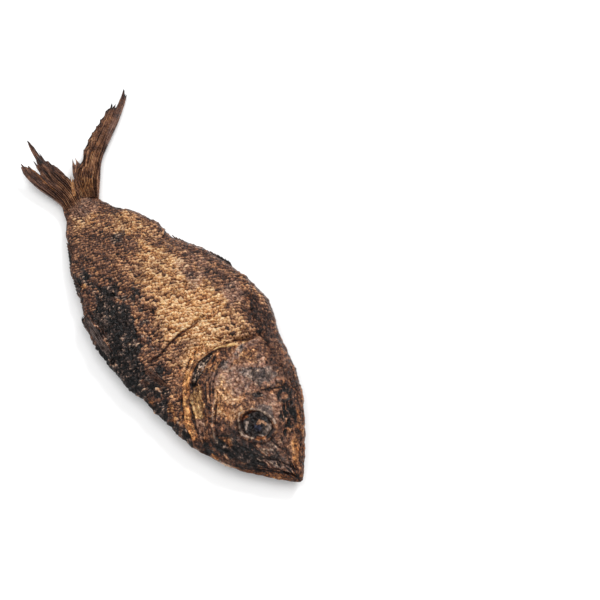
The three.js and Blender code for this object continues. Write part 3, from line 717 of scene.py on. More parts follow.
def mesh_object(name, points, quads, masks, uv, material):
    """points in the fish's frame, in mm. uv holds one pair for each corner of each face."""
    quads = np.asarray(quads, np.int32)
    mesh = bpy.data.meshes.new(name)
    mesh.vertices.add(len(points))
    mesh.vertices.foreach_set("co", to_row(points).astype(np.float32).ravel())
    n, k = quads.shape
    mesh.loops.add(n * k)
    mesh.loops.foreach_set("vertex_index", quads.ravel())
    mesh.polygons.add(n)
    mesh.polygons.foreach_set("loop_start", np.arange(0, n * k, k, dtype=np.int32))
    mesh.polygons.foreach_set("loop_total", np.full(n, k, dtype=np.int32))
    layer = mesh.uv_layers.new(name="OFBake")
    layer.data.foreach_set("uv", np.asarray(uv, np.float32).ravel())
    mesh.update(calc_edges=True)
    mesh.validate()
    mesh.polygons.foreach_set("use_smooth", np.ones(len(mesh.polygons), bool))
    for key, value in masks.items():
        attribute = mesh.attributes.new(key, "FLOAT", "POINT")
        attribute.data.foreach_set("value", np.asarray(value, np.float32).ravel())
    thing = bpy.data.objects.new(name, mesh)
    bpy.context.scene.collection.objects.link(thing)
    mesh.materials.append(material)
    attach(thing, "root")
    return thing


def grid_quads(rows, cols, flip):
    i, j = np.meshgrid(np.arange(rows - 1), np.arange(cols - 1), indexing="ij")
    a = (i * cols + j).ravel()
    q = np.stack([a, a + 1, a + cols + 1, a + cols], 1)
    return q[:, ::-1] if flip else q


def flank_points():
    """The plain flanks: s, y, half thickness and arc of each point, and each flank's points and normals."""
    s, ys, ws, arcs = rings()
    S = np.repeat(s[:, None], HALF_RING + 1, 1)
    out = {}
    for upper, side, _ in FLANKS:
        p = np.stack([-S, ys, sag(S) + side * ws], -1)
        d_ring = np.gradient(p, axis=1)
        d_long = np.gradient(p, axis=0)
        normal = np.cross(d_long, d_ring) * side
        normal /= np.linalg.norm(normal, axis=-1, keepdims=True) + 1e-12
        out[upper] = (p, normal)
    # one normal along the back and the keel for both flanks
    for k in (0, -1):
        n = out[True][1][:, k] + out[False][1][:, k]
        n[:, 2] = 0
        n /= np.linalg.norm(n, axis=-1, keepdims=True) + 1e-12
        out[True][1][:, k] = out[False][1][:, k] = n
    return S, ys, ws, arcs, out


UV_SPAN = 215.0  # the length that fills the texture
OVER_REST = 0.06  # the lower flank stays this far above what the fish lies on


def make_skin(material):
    """Both flanks. Returns the finished points of each."""
    S, ys, ws, arcs, plain = flank_points()
    made = {}
    for upper, _, _ in FLANKS:
        p, normal = plain[upper]
        made[upper] = [p, normal, *dressed(S, ys, ws, arcs, p, upper)]
    for k in (0, -1):
        h = (made[True][2][:, k] + made[False][2][:, k]) / 2
        made[True][2][:, k] = made[False][2][:, k] = h
    finished = {}
    for upper, _, name in FLANKS:
        p, normal, h, masks = made[upper]
        h = h * step(0, 5, S) ** 0.5 * (1 - 0.75 * step(197, 208, S))
        q = p + normal * h[..., None]
        q[..., 2] = np.maximum(q[..., 2], -REST_DEPTH + OVER_REST + 0.05 * noise(p, 3, 7))
        quads = grid_quads(*S.shape, flip=upper)
        uv = np.stack([S / UV_SPAN + 0.02, 0.5 + arcs / UV_SPAN], -1).reshape(-1, 2)[quads]
        thing = mesh_object("skin_" + name, q.reshape(-1, 3), quads, masks, uv, material)
        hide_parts("fish")
        finished[upper] = q
    return finished


def surface(x, y, upper):
    """Height z of the finished skin over the flank's points x, y, all in the fish's frame."""
    q = finished_skin[upper]
    rows = np.clip(np.searchsorted(-q[:, HALF_RING // 2, 0], -x), 0, len(q) - 1)
    flat = [np.interp(v, q[i, ::-1, 1], q[i, ::-1, 2]) for i, v in zip(rows.ravel(), y.ravel())]
    return np.reshape(flat, x.shape)


# ------------------------------------------------------------------------------------ fins
TAIL_Z = -5.0


def by_length(points):
    """A smooth curve in x and y by distance from its first point, and its length."""
    pts = np.array(points, float)
    at = np.concatenate([[0], np.cumsum(np.hypot(*np.diff(pts, axis=0).T))])
    fx, fy = through(list(zip(at, pts[:, 0]))), through(list(zip(at, pts[:, 1])))
    return fx, fy, at[-1]


def beside(fx, fy, d, off):
    """The point this far off to the left of a curve, at d along it."""
    dx, dy = fx(d + 0.5) - fx(d - 0.5), fy(d + 0.5) - fy(d - 0.5)
    n = np.hypot(dx, dy) + 1e-9
    return fx(d) - dy / n * off, fy(d) + dx / n * off


def sheet(name, place, columns, rows, seed, half, rays, tones, uneven=0.0, edge=0.7, end=1.1):
    """A closed thin sheet of rays, open only at its root, which is inside the body. place(c, t) gives x, y, z
    of its middle and the length left to the end, for c across the sheet and t along it, both from 0 to 1.
    half(c, t) is half its thickness, and it thins out within edge of its sides and end of its tips."""
    c, t = np.meshgrid(np.linspace(0, 1, columns), np.linspace(0, 1, rows), indexing="ij")
    x, y, z, left = place(c, t)
    across = np.hypot(np.gradient(x, axis=0), np.gradient(y, axis=0))
    gone = np.cumsum(across, 0) - across / 2
    from_side = np.minimum(gone, gone[-1:] - gone)
    from_side[0] = from_side[-1] = 0
    p = np.stack([c * 20.0, t * 12.0, 0 * c + seed], -1)
    fork = step(0.25, 0.75, t + 0.3 * noise(p, 3, seed + 1))
    wander = c + 0.012 * noise(np.stack([c * 12, t * 5, 0 * c], -1), 1, seed + 2)
    ray = mix(np.cos(2 * np.pi * rays * wander), np.cos(4 * np.pi * rays * wander), fork * 0.55)
    fibre = layered(np.stack([wander * rays * 1.6, t * 5, 0 * c], -1), 1.0, 3, seed + 3, 0.7)
    thick = half(c, t) * (1 + 0.3 * ray + 0.3 * fibre)
    thick *= np.sqrt(np.clip(from_side / edge, 0, 1)) * np.sqrt(np.clip(left / end, 0, 1))
    thick[:, -1] = 0
    crumple = uneven * layered(np.stack([x / 5, y / 5, 0 * x], -1), 1, 3, seed + 4)
    points = []
    for face in (1, -1):
        grain = 0.07 * layered(np.stack([x, y, face + 0 * x], -1), 0.8, 2, seed + 5)
        points.append(np.stack([x, y, z + crumple + face * thick * (1 + grain)], -1).reshape(-1, 3))
    above = np.arange(columns * rows).reshape(columns, rows)
    shared = np.zeros((columns, rows), bool)
    shared[0] = shared[-1] = shared[:, -1] = True
    below = np.where(shared, above, above + columns * rows)

    def round_each(table):
        """The four corners of each quad of a grid."""
        return np.stack([table[:-1, :-1], table[:-1, 1:], table[1:, 1:], table[1:, :-1]], 2)

    quads, uv = [], []
    u, v = 0.02 + 0.96 * t, 0.02 + 0.46 * c
    for face, table in enumerate((above, below)):
        q = round_each(table).reshape(-1, 4)
        w = round_each(np.stack([u, v + 0.5 * face], -1)).reshape(-1, 4, 2)
        flip = (face == 0) != sheet_turns(x, y)
        quads.append(q[:, ::-1] if flip else q)
        uv.append(w[:, ::-1] if flip else w)
    mottle = layered(np.stack([x, y, z], -1), 2.6, 3, seed + 6)
    masks = {key: value(c, t) for key, value in tones.items()}
    # painted highlights on the raised rays; fibre and mottle are the fin's own tone
    masks["tip"] = np.clip(0.46 + 0.16 * ray + 0.42 * fibre + 0.2 * mottle, 0, 1)
    masks["number"] = np.clip(0.5 + 0.5 * noise(p, 2.5, seed + 7), 0, 1)
    # painted shade between the raised rays
    masks["gap"] = 0.5 * step(0.5, 1.1, -ray - 0.8 * fibre - 0.6 * mottle) * step(0.1, 0.4, t)
    used, again = np.unique(np.concatenate(quads), return_inverse=True)
    masks = {key: np.tile(np.broadcast_to(value, x.shape).ravel(), 2)[used] for key, value in masks.items()}
    return mesh_object(name, np.concatenate(points)[used], again.reshape(-1, 4), masks,
                       np.concatenate(uv).reshape(-1, 2), fin_material)


def sheet_turns(x, y):
    """Whether c goes to the left of t, seen from above."""
    i, j = x.shape[0] // 2, x.shape[1] // 2
    tx, ty = x[i, j + 1] - x[i, j], y[i, j + 1] - y[i, j]
    cx, cy = x[i + 1, j] - x[i, j], y[i + 1, j] - y[i, j]
    return tx * cy - ty * cx > 0


def lobe(name, edge, widths, ends, side, lift, seed, rays, spikes, tones, rows, barb, barb_height):
    """A lobe of the tail. Its rays run beside its long edge, and each is as long as ends says. side is 1 for
    the upper lobe, spikes(c) is how far the torn tips stand out, and barb is the step of the torn inner
    side."""
    fx, fy, _ = by_length(edge)
    wide, reach = through(widths), through(ends)

    def place(c, t):
        lane = c * rays
        own = drawn(lane, seed)
        tooth = 0.5 - 0.5 * np.cos(2 * np.pi * lane)
        length = reach(c) - spikes(c) * (0.35 + own) * (1 - tooth) ** 1.5 + (own - 0.5) * spikes(c) * 0.8
        d = t * length
        waver = noise(np.stack([d / 9, c * 5, 0 * c], -1), 1, seed + 9)
        off = c * wide(d) + 0.35 * waver * step(0.02, 0.1, c)
        saw = (d / barb + 0.4 * np.sin(d / 6.1)) % 1
        off += (barb_height * (saw - 0.45) * (1 - step(0.9, 1, saw)) * np.clip(c / 0.76, 0, 1.1) ** 5
                * step(8, 16, d))
        return (*seen(*beside(fx, fy, d, side * off), TAIL_Z + lift(d / 60)), (1 - t) * length)
    half = lambda c, t: 1.5 * (1 - t) ** 1.3 + 0.5
    return sheet(name, place, 190, rows, seed, half, rays, tones, 0.35)


def make_tail():
    lobe("tail_upper",
         [(-196, 8.5), (-204.5, 15.3), (-214.4, 23.5), (-220.5, 32), (-226.9, 42.2), (-233.1, 50.9),
          (-239.5, 58.6), (-246, 66)],
         [(0, 10), (8, 14.5), (12, 16), (18, 14), (25, 13.2), (76, 13)],
         [(0, 66.6), (0.1, 67.8), (0.2, 71), (0.235, 67), (0.28, 62), (0.31, 58.2), (0.34, 57.6),
          (0.37, 60.5), (0.4, 60.2), (0.43, 58), (0.47, 58), (0.54, 60.4), (0.57, 59), (0.62, 55.5),
          (0.68, 54), (0.69, 50), (0.715, 49), (0.722, 45), (0.742, 44.5), (0.749, 39.5), (0.765, 39),
          (0.771, 34), (0.783, 33.6), (0.789, 29), (0.798, 28.6), (0.804, 24), (0.814, 23.6), (0.82, 19),
          (0.85, 14.5), (0.95, 12.5), (1, 9)],
         1, lambda t: -2.6 * t * t, 21, 17, lambda c: mix(1.2, 0.5, step(0.55, 0.6, c)),
         dict(dusk=lambda c, t: 0.34 + 0.4 * step(0.85, 1, t) - 0.2 * bump(t - 0.15, 0.12),
              gold=lambda c, t: 0.42 * bump(t - 0.12, 0.12) * step(0.12, 0.3, c),
              amber=lambda c, t: 0.5 * bump(c - 0.45, 0.2) * bump(t - 0.5, 0.2),
              grey=lambda c, t: 1.1 * bump(c - 0.1, 0.16) * step(0.4, 0.6, t),
              char=lambda c, t: step(0.93, 1, t) * 0.8),
         130, 6.3, 2.8)
    lobe("tail_lower",
         [(-197, -11), (-205.4, -10.8), (-210.3, -11.7), (-216.5, -13.5), (-224.2, -15.5), (-232.7, -16.4),
          (-239.5, -15.8), (-252, -15)],
         [(0, 10), (11.4, 13.5), (17.9, 16), (25.9, 17.3), (34.4, 18.5), (42, 18.7), (56, 19)],
         [(0, 40.5), (0.05, 43.5), (0.12, 44.2), (0.18, 42), (0.26, 41.5), (0.32, 36), (0.36, 32.5),
          (0.39, 31.5), (0.42, 39), (0.46, 41.5), (0.5, 40.5), (0.545, 42), (0.56, 50), (0.585, 53),
          (0.62, 55), (0.65, 54), (0.675, 51), (0.695, 48), (0.705, 43), (0.72, 43), (0.735, 46),
          (0.75, 39.5), (0.8, 37), (0.84, 33.5), (0.9, 30), (0.97, 26), (1, 20)],
         -1, lambda t: 5 * (t * 60 / 45) ** 2, 22, 14, lambda c: 1.5 * (1 - step(0.5, 0.55, c)) + 0.3,
         dict(dusk=lambda c, t: 0.62 - 0.3 * bump(t - 0.1, 0.15),
              amber=lambda c, t: 0.7 * bump(c - 0.28, 0.07) * step(0.3, 0.5, t),
              char=lambda c, t: 1.2 * bump(c - 0.62, 0.09) * bump(t - 0.74, 0.06) + 0.7 * step(0.96, 1, t),
              grey=lambda c, t: 0.6 * bump(c - 0.1, 0.12) * step(0.7, 0.9, t)),
         110, 9.0, 0.4)
    # a stub of torn rays in the fork, and the amber ray beside it
    for name, line, width, lift, tones in (
            ("tail_stub", [(-212, 6.2), (-216.5, 8.0), (-221, 10.6), (-226, 12.2)],
             [(0, 5), (5, 5.2), (9, 5.2), (12, 4), (15.4, 1.6)], -1.2,
             dict(dusk=lambda c, t: 0.5, grey=lambda c, t: 0.5 * step(0.6, 0.9, t))),
            ("tail_ray", [(-205.5, -1.6), (-209, 0.2), (-213, 2.2), (-217.6, 4.6)],
             [(0, 2.2), (9, 2.0), (14, 1.3)], 1.9, dict(amber=lambda c, t: 1.0, pale=lambda c, t: 0.4))):
        fx, fy, length = by_length(line)
        wide = through(width)

        def place(c, t, fx=fx, fy=fy, length=length, wide=wide, lift=lift):
            own = length * (1 - 0.34 * np.abs(np.sin(c * 5.6 + 1.2)))
            d = t * own
            return (*seen(*beside(fx, fy, d, (c - 0.5) * wide(d)), TAIL_Z + lift + 0 * c), own * (1 - t))
        sheet(name, place, 22, 50, 31, lambda c, t: 0.6 - 0.2 * t, 3, tones, 0.2, 0.5, 0.6)


def lying(roots, tips, upper, stand):
    """Rays from roots to tips, given as s, y seen from VIEW, lying on the flank."""
    rx, ry, root_length = by_length(roots)
    tx, ty, tip_length = by_length(tips)
    side = 1 if upper else -1

    def place(c, t):
        tooth = 0.16 * drawn(c * 9, 45 + upper) * (0.5 - 0.5 * np.cos(2 * np.pi * 9 * c))
        tooth = tooth + 0.16 * (2 * c - 1) ** 2
        k = t * (1 - tooth)
        s = mix(rx(c * root_length), tx(c * tip_length), k)
        y = mix(ry(c * root_length), ty(c * tip_length), k)
        x, yy = -s, y
        for _ in range(3):
            z = surface(x, yy, upper)
            x, yy, _ = seen(-s, y, np.abs(z))
        return x, yy, z + side * (stand(c, t) - 0.15), np.hypot(tx(0) - rx(0), ty(0) - ry(0)) * (1 - t)
    return place


def along_edge(profile, start, stop, lean, height, inward, seed):
    """A fin folded down along the back or the keel."""
    outwards = 1 if profile(120.0) > 0 else -1

    def place(c, t):
        k = t * (1 - 0.2 * drawn(c * 16, seed) * np.abs(np.cos(np.pi * 16 * c)))
        s = mix(start, stop, c) + lean * k
        y = profile(s) + outwards * (height(c) * k - inward * (1 - k))
        return -s, y, sag(s) + 0.7 * np.sin(c * 9 + 1) * t, lean * (1 - t)
    return place


def make_fins():
    dark = dict(dusk=lambda c, t: 0.8, char=lambda c, t: 0.45 + 0.3 * np.sin(c * 11))
    grey = dict(dusk=lambda c, t: 0.15, grey=lambda c, t: 1.5, char=lambda c, t: 0.4 + 0.3 * step(0.8, 1, t))
    brown = dict(dusk=lambda c, t: 0.6, char=lambda c, t: 0.3 + 0.2 * np.sin(c * 9))
    thin = lambda c, t: 0.85 - 0.45 * t
    low = lambda c, t: 0.7 - 0.35 * t
    rise = lambda c, t: -0.5 + 0.95 * step(0, 0.35, t) * np.sin(np.pi * c) ** 0.6
    sheet("dorsal_fin", along_edge(back, 112, 146, 9, lambda c: 1.9 - 0.9 * c, 2.2, 41),
          130, 40, 41, thin, 16, dark, 0.3)
    sheet("anal_fin", along_edge(keel, 150, 181, 7, lambda c: 1.8 - 0.6 * c, 2, 42),
          110, 30, 42, thin, 14, dark, 0.25)
    for upper, _, name in FLANKS:
        sheet("pelvic_fin_" + name,
              lying([(118, -37.5), (118.5, -41.5)], [(146, -35.5), (144.5, -41.2)], upper, rise),
              70, 80, 51 + upper, low, 6, grey, 0.2)
        sheet("pectoral_fin_" + name,
              lying([(84, -23.5), (84.5, -27)], [(100, -26.5), (97, -32)], upper, rise),
              60, 60, 61 + upper, low, 7, brown, 0.2)


# ------------------------------------------------------------------------------------ eyes
# Strokes in the eye: half width, and x, y seen from VIEW.
EYE_EDGES = [(0.45, [(-33.4, 5.6), (-31, 4.4), (-29.4, 2.4)]),
             (0.5, [(-33.4, -3.2), (-31.4, -2.4), (-29.8, -1.4)]),
             (0.7, [(-42, -3.6), (-41, -5), (-38.4, -7.4)])]
EYE_LUMP = [(0.8, [(-38.6, 1.3), (-36.8, 2.2), (-34, 2.9)]), (0.8, [(-38.4, 2.2), (-37.6, 1), (-37.3, -1.2)])]
EYE_RUST = [(0.9, [(-28.2, 2), (-28.6, -0.6), (-30, -3.4), (-32.8, -5.2)]),
            (0.7, [(-44.4, -1.2), (-44.2, -5)])]


def make_eyes(material):
    count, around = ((56, 150))
    for upper, side, name in FLANKS:
        k, a = np.meshgrid(np.linspace(0, 1, count), np.linspace(0, 2 * np.pi, around, endpoint=False),
                           indexing="ij")
        r = EYE_RADIUS * k
        px, py = -EYE[0] + r * np.cos(a + 0.3) * 1.04, EYE[1] + r * np.sin(a + 0.3) * 0.95
        # the eye lies in the plane of the skin around the socket
        cx, cy, reach = -34.9 + EYE_MARKS[0], -2.6 + EYE_MARKS[1], 10.5
        round_it = np.array([[-reach, reach, 0, 0], [0, 0, -reach, reach]])
        levels = np.abs(surface(cx + round_it[0], cy + round_it[1], upper))
        x, y, _ = seen(px, py, 9.3 + 0 * px)
        rise_x, rise_y = levels[1] - levels[0], levels[3] - levels[2]
        level = levels.mean() + (rise_x * (x - cx) + rise_y * (y - cy)) / (2 * reach)
        q = np.stack([px, py, 0 * px + 50 * upper], -1)
        wrinkle = creased(q, 3.0, 3, 71)
        lens = np.hypot(px + EYE[0] - 1.2, py - EYE[1] - 0.6)
        dome = 1.0 * np.sqrt(np.clip(1 - k * k, 0, 1)) + 1.7 * (wrinkle - 0.4) * (1 - k ** 4)
        dome -= 0.9 * step(-0.1, 0.6, -np.cos(a - 0.5)) * step(0.45, 0.75, k)
        dome += 0.8 * bump(lens, 2.8) + 0.25 * layered(q, 1.1, 2, 72)
        dome += 0.8 * bump(k - 0.78, 0.12) * step(-0.4, 0.3, np.cos(a - 0.5))
        rise = level - 0.9 + dome
        if not upper:
            rise = np.minimum(rise, REST_DEPTH - 1.0)
        i, j = np.meshgrid(np.arange(count - 1), np.arange(around), indexing="ij")
        here, there = i * around + j, i * around + (j + 1) % around
        quads = np.stack([here, here + around, there + around, there], -1).reshape(-1, 4)[:, ::side]
        uv = np.stack([0.5 + 0.47 * k * np.cos(a), 0.5 + 0.47 * k * np.sin(a)], -1).reshape(-1, 2)[quads]
        ragged = 0.6 * layered(q, 1.5, 2, 76)
        mx, my = px - EYE_MARKS[0], py - EYE_MARKS[1]

        def strokes(table):
            drawn_lines = []
            for width, points in table:
                off, _, share = along(mx + ragged, my + ragged, points)
                drawn_lines.append((1 - step(0.6, 1.3, off / width)) * between(share, 0, 0.08, 0.9, 1))
            return most(*drawn_lines)

        membrane = blob(mx + ragged * 2, my + ragged, -31.6, 2.6, 3.6, 2.0, -48)
        edges = strokes(EYE_EDGES)
        # painted highlights on the wrinkles' ridges; the strokes and membrane are paler in their own colour
        tip = -0.12 + 0.6 * wrinkle + 0.3 * layered(q, 0.9, 2, 73) + 0.3 * edges + 0.1 * membrane
        # lens: a painted blue-grey highlight on the eye
        masks = dict(tip=np.clip(tip, 0, 1), lens=bump(np.hypot(mx + 35.8, my + 1.4), 2.4),
                     rim=most(membrane, edges), tan=strokes(EYE_LUMP), rust=strokes(EYE_RUST))
        mesh_object("eye_" + name, np.stack([x, y, side * rise], -1).reshape(-1, 3), quads, masks,
                    uv.reshape(-1, 2), material)


# ------------------------------------------------------------------------------------ materials
# Colours of the skin from dark to light: place in the ramp, then red, green and blue from 0 to 255.
SKIN_RAMPS = dict(
    brown=((0.0, 26, 15, 11), (0.28, 76, 47, 34), (0.5, 116, 79, 58), (0.75, 160, 116, 84),
           (1.0, 212, 170, 128)),
    gold=((0.0, 76, 42, 22), (0.25, 138, 90, 52), (0.5, 180, 133, 87), (0.75, 202, 163, 119),
          (1.0, 222, 197, 160)),
    violet=((0.0, 58, 37, 29), (0.4, 112, 81, 68), (0.7, 146, 115, 101), (1.0, 184, 154, 136)),
    slate=((0.0, 26, 21, 21), (0.4, 82, 70, 68), (0.7, 122, 107, 102), (1.0, 168, 150, 140)),
    soot=((0.0, 3, 2, 2), (0.3, 12, 8, 8), (0.5, 30, 23, 22), (0.7, 70, 58, 55), (0.88, 114, 98, 92),
          (1.0, 168, 146, 130)),
    rust=((0.0, 46, 25, 15), (0.4, 114, 72, 43), (0.7, 164, 113, 70), (1.0, 214, 166, 112)),
    moss=((0.0, 96, 66, 42), (0.5, 166, 130, 88), (1.0, 214, 186, 138)),
    straw=((0.0, 112, 76, 42), (0.5, 188, 150, 98), (1.0, 240, 214, 164)),
    dusk=((0.0, 24, 14, 11), (0.4, 64, 41, 33), (0.75, 106, 74, 58), (1.0, 166, 123, 94)),
    ash_and_highlight=((0.0, 76, 64, 58), (0.4, 140, 122, 111), (1.0, 214, 196, 180)))
EYE_RAMPS = dict(
    dark=((0.0, 14, 11, 11), (0.4, 54, 44, 41), (1.0, 140, 118, 104)),
    # the lens ramp colours a painted blue-grey highlight
    lens=((0.0, 14, 14, 24), (0.4, 40, 42, 60), (1.0, 110, 110, 126)),
    rim=((0.0, 44, 35, 32), (0.4, 108, 90, 80), (1.0, 178, 158, 144)),
    rust=((0.0, 72, 36, 18), (0.4, 142, 84, 48), (1.0, 208, 146, 92)),
    tan=((0.0, 110, 76, 56), (0.4, 176, 134, 104), (1.0, 228, 190, 156)))
TINTS = ((0.0, (0.86, 0.78, 0.80)), (0.3, (0.98, 0.82, 0.68)), (0.6, (0.95, 0.91, 0.87)),
         (1.0, (1.0, 0.94, 0.78)))


def srgb(*rgb):
    return tuple((c / 255 / 12.92) if c <= 10 else ((c / 255 + 0.055) / 1.055) ** 2.4 for c in rgb)


def new_material(name):
    material = bpy.data.materials.new(name)
    material.use_nodes = True
    tree = material.node_tree
    return material, tree, tree.nodes["Principled BSDF"]


class Value:
    """A number in a shader. Each sum with it adds a math node."""

    def __init__(self, nodes, socket):
        self.nodes, self.socket = nodes, socket

    def __add__(self, other):
        return self.nodes.math("ADD", self, other)

    def __sub__(self, other):
        return self.nodes.math("SUBTRACT", self, other)

    def __rsub__(self, other):
        return self.nodes.math("SUBTRACT", other, self)

    def __mul__(self, other):
        return self.nodes.math("MULTIPLY", self, other)

    def __truediv__(self, other):
        return self.nodes.math("DIVIDE", self, other)

    def __abs__(self):
        return self.nodes.math("ABSOLUTE", self)

    def clamped(self):
        """The same value, kept between 0 and 1."""
        self.socket.node.use_clamp = True
        return self


class Nodes:
    """The nodes of one material."""

    def __init__(self, tree):
        self.tree = tree

    def add(self, kind, inputs=(), **values):
        node = self.tree.nodes.new(kind)
        for key, value in values.items():
            setattr(node, key, value)
        for key, value in dict(inputs).items():
            self.put(value, node.inputs[key])
        return node

    def put(self, value, socket):
        value = getattr(value, "socket", value)
        if isinstance(value, bpy.types.NodeSocket):
            self.tree.links.new(value, socket)
        elif socket.type == "RGBA":
            socket.default_value = (*value, 1)
        else:
            socket.default_value = value

    def mask(self, name):
        return Value(self, self.add("ShaderNodeAttribute", attribute_name=name).outputs["Fac"])

    def math(self, operation, a, b=0.0):
        return Value(self, self.add("ShaderNodeMath", {0: a, 1: b}, operation=operation).outputs[0])

    def ramp(self, value, stops):
        node = self.add("ShaderNodeValToRGB", {0: value})
        elements = node.color_ramp.elements
        while len(elements) < len(stops):
            elements.new(0.5)
        for element, (at, colour) in zip(elements, stops):
            element.position = at
            element.color = (*colour, 1)
        return node.outputs[0]

    def ramps(self, value, table):
        return {key: self.ramp(value, [(at, srgb(*rgb)) for at, *rgb in stops])
                for key, stops in table.items()}

    def range(self, value, low, high):
        """0 at low and 1 at high, with soft ends."""
        node = self.add("ShaderNodeMapRange", {0: value, 1: low, 2: high, 3: 0.0, 4: 1.0},
                        interpolation_type="SMOOTHSTEP")
        return Value(self, node.outputs[0])

    def choose(self, factor, a, b):
        """A number between a and b."""
        return Value(self, self.add("ShaderNodeMix", {0: factor, 2: a, 3: b}, data_type="FLOAT").outputs[0])

    def mix(self, factor, a, b, blend="MIX"):
        node = self.add("ShaderNodeMix", {0: factor, 6: a, 7: b}, data_type="RGBA", blend_type=blend)
        return node.outputs[2]

    def multiplied(self, factor, colour, by):
        """The colour, multiplied by another where the factor is 1."""
        return self.mix(factor, colour, self.mix(1.0, colour, by, "MULTIPLY"))

    def noise(self, millimetres, detail=3.0, rough=0.55, seed=0.0):
        place = self.add("ShaderNodeTexCoord").outputs["Object"]
        mapping = self.add("ShaderNodeMapping", {"Vector": place, "Location": (seed, seed * 1.7, seed * 0.3)})
        node = self.add("ShaderNodeTexNoise", {"Vector": mapping.outputs[0], "Scale": 1000.0 / millimetres,
                                               "Detail": detail, "Roughness": rough})
        return Value(self, node.outputs["Fac"])

    def two_of(self, colour):
        """Red and green, as two numbers."""
        parts = self.add("ShaderNodeSeparateColor", {0: colour})
        return Value(self, parts.outputs[0]), Value(self, parts.outputs[1])

    def scale_at(self):
        """The scale over a place: how far it leans to tail and back, how near its rim is, its height, and
        a steady random number."""
        steps, rows = self.mask("steps"), self.mask("rows")
        found = []
        for k in (0, 1):
            row = self.math("FLOOR", rows) + k
            moved = steps - self.math("FRACT", row * 0.5)
            col = self.math("ROUND", moved)
            back_by, up_by, raised = (self.math("SINE", col * u + row * v) * amount
                                      for amount, u, v in OUT_OF_PLACE)
            ds, da = moved - col - back_by, rows - row - up_by
            long, wide = (self.math("POWER", abs(d / reach), 2.0) for d, reach in zip((ds, da), SCALE_REACH))
            found.append((ds, da, 1.0 - long - wide + (raised + ds * SCALE_TILT), col, row))
        first = self.math("GREATER_THAN", found[0][2], found[1][2])
        ds, da, height, col, row = (self.choose(first, second, one) for one, second in zip(*found))
        which = self.add("ShaderNodeCombineXYZ", {0: col, 1: row})
        random = self.add("ShaderNodeTexWhiteNoise", {"Vector": which.outputs[0]}, noise_dimensions="2D")
        own, _ = self.two_of(random.outputs["Color"])
        return ds * 1.5 + da * 0.75, abs(found[0][2] - found[1][2]), height, own

    def creases(self, millimetres, seed):
        """Thin winding lines, which carry painted shade, and the paler ridge beside each, which carries a
        painted highlight.
        """
        value = self.noise(millimetres, 2.5, 0.5, seed)
        return [self.range(abs(value - level), 0.036, 0.0) for level in (0.5, 0.56)]

    def flecks(self, millimetres, bend, randomness):
        """Crisp-edged flecks: two steady random numbers for each, and the distance from its middle."""
        place = self.add("ShaderNodeTexCoord").outputs["Object"]
        bent = self.add("ShaderNodeTexNoise", {"Vector": place, "Scale": 500.0 / millimetres})
        bend_each = (bend / 1000.0,) * 3
        moved = self.add("ShaderNodeVectorMath", {0: bent.outputs["Color"], 1: bend_each, 2: place},
                         operation="MULTIPLY_ADD")
        node = self.add("ShaderNodeTexVoronoi", {"Vector": moved.outputs[0], "Scale": 1000.0 / millimetres,
                                                 "Randomness": randomness})
        return *self.two_of(node.outputs["Color"]), Value(self, node.outputs["Distance"])


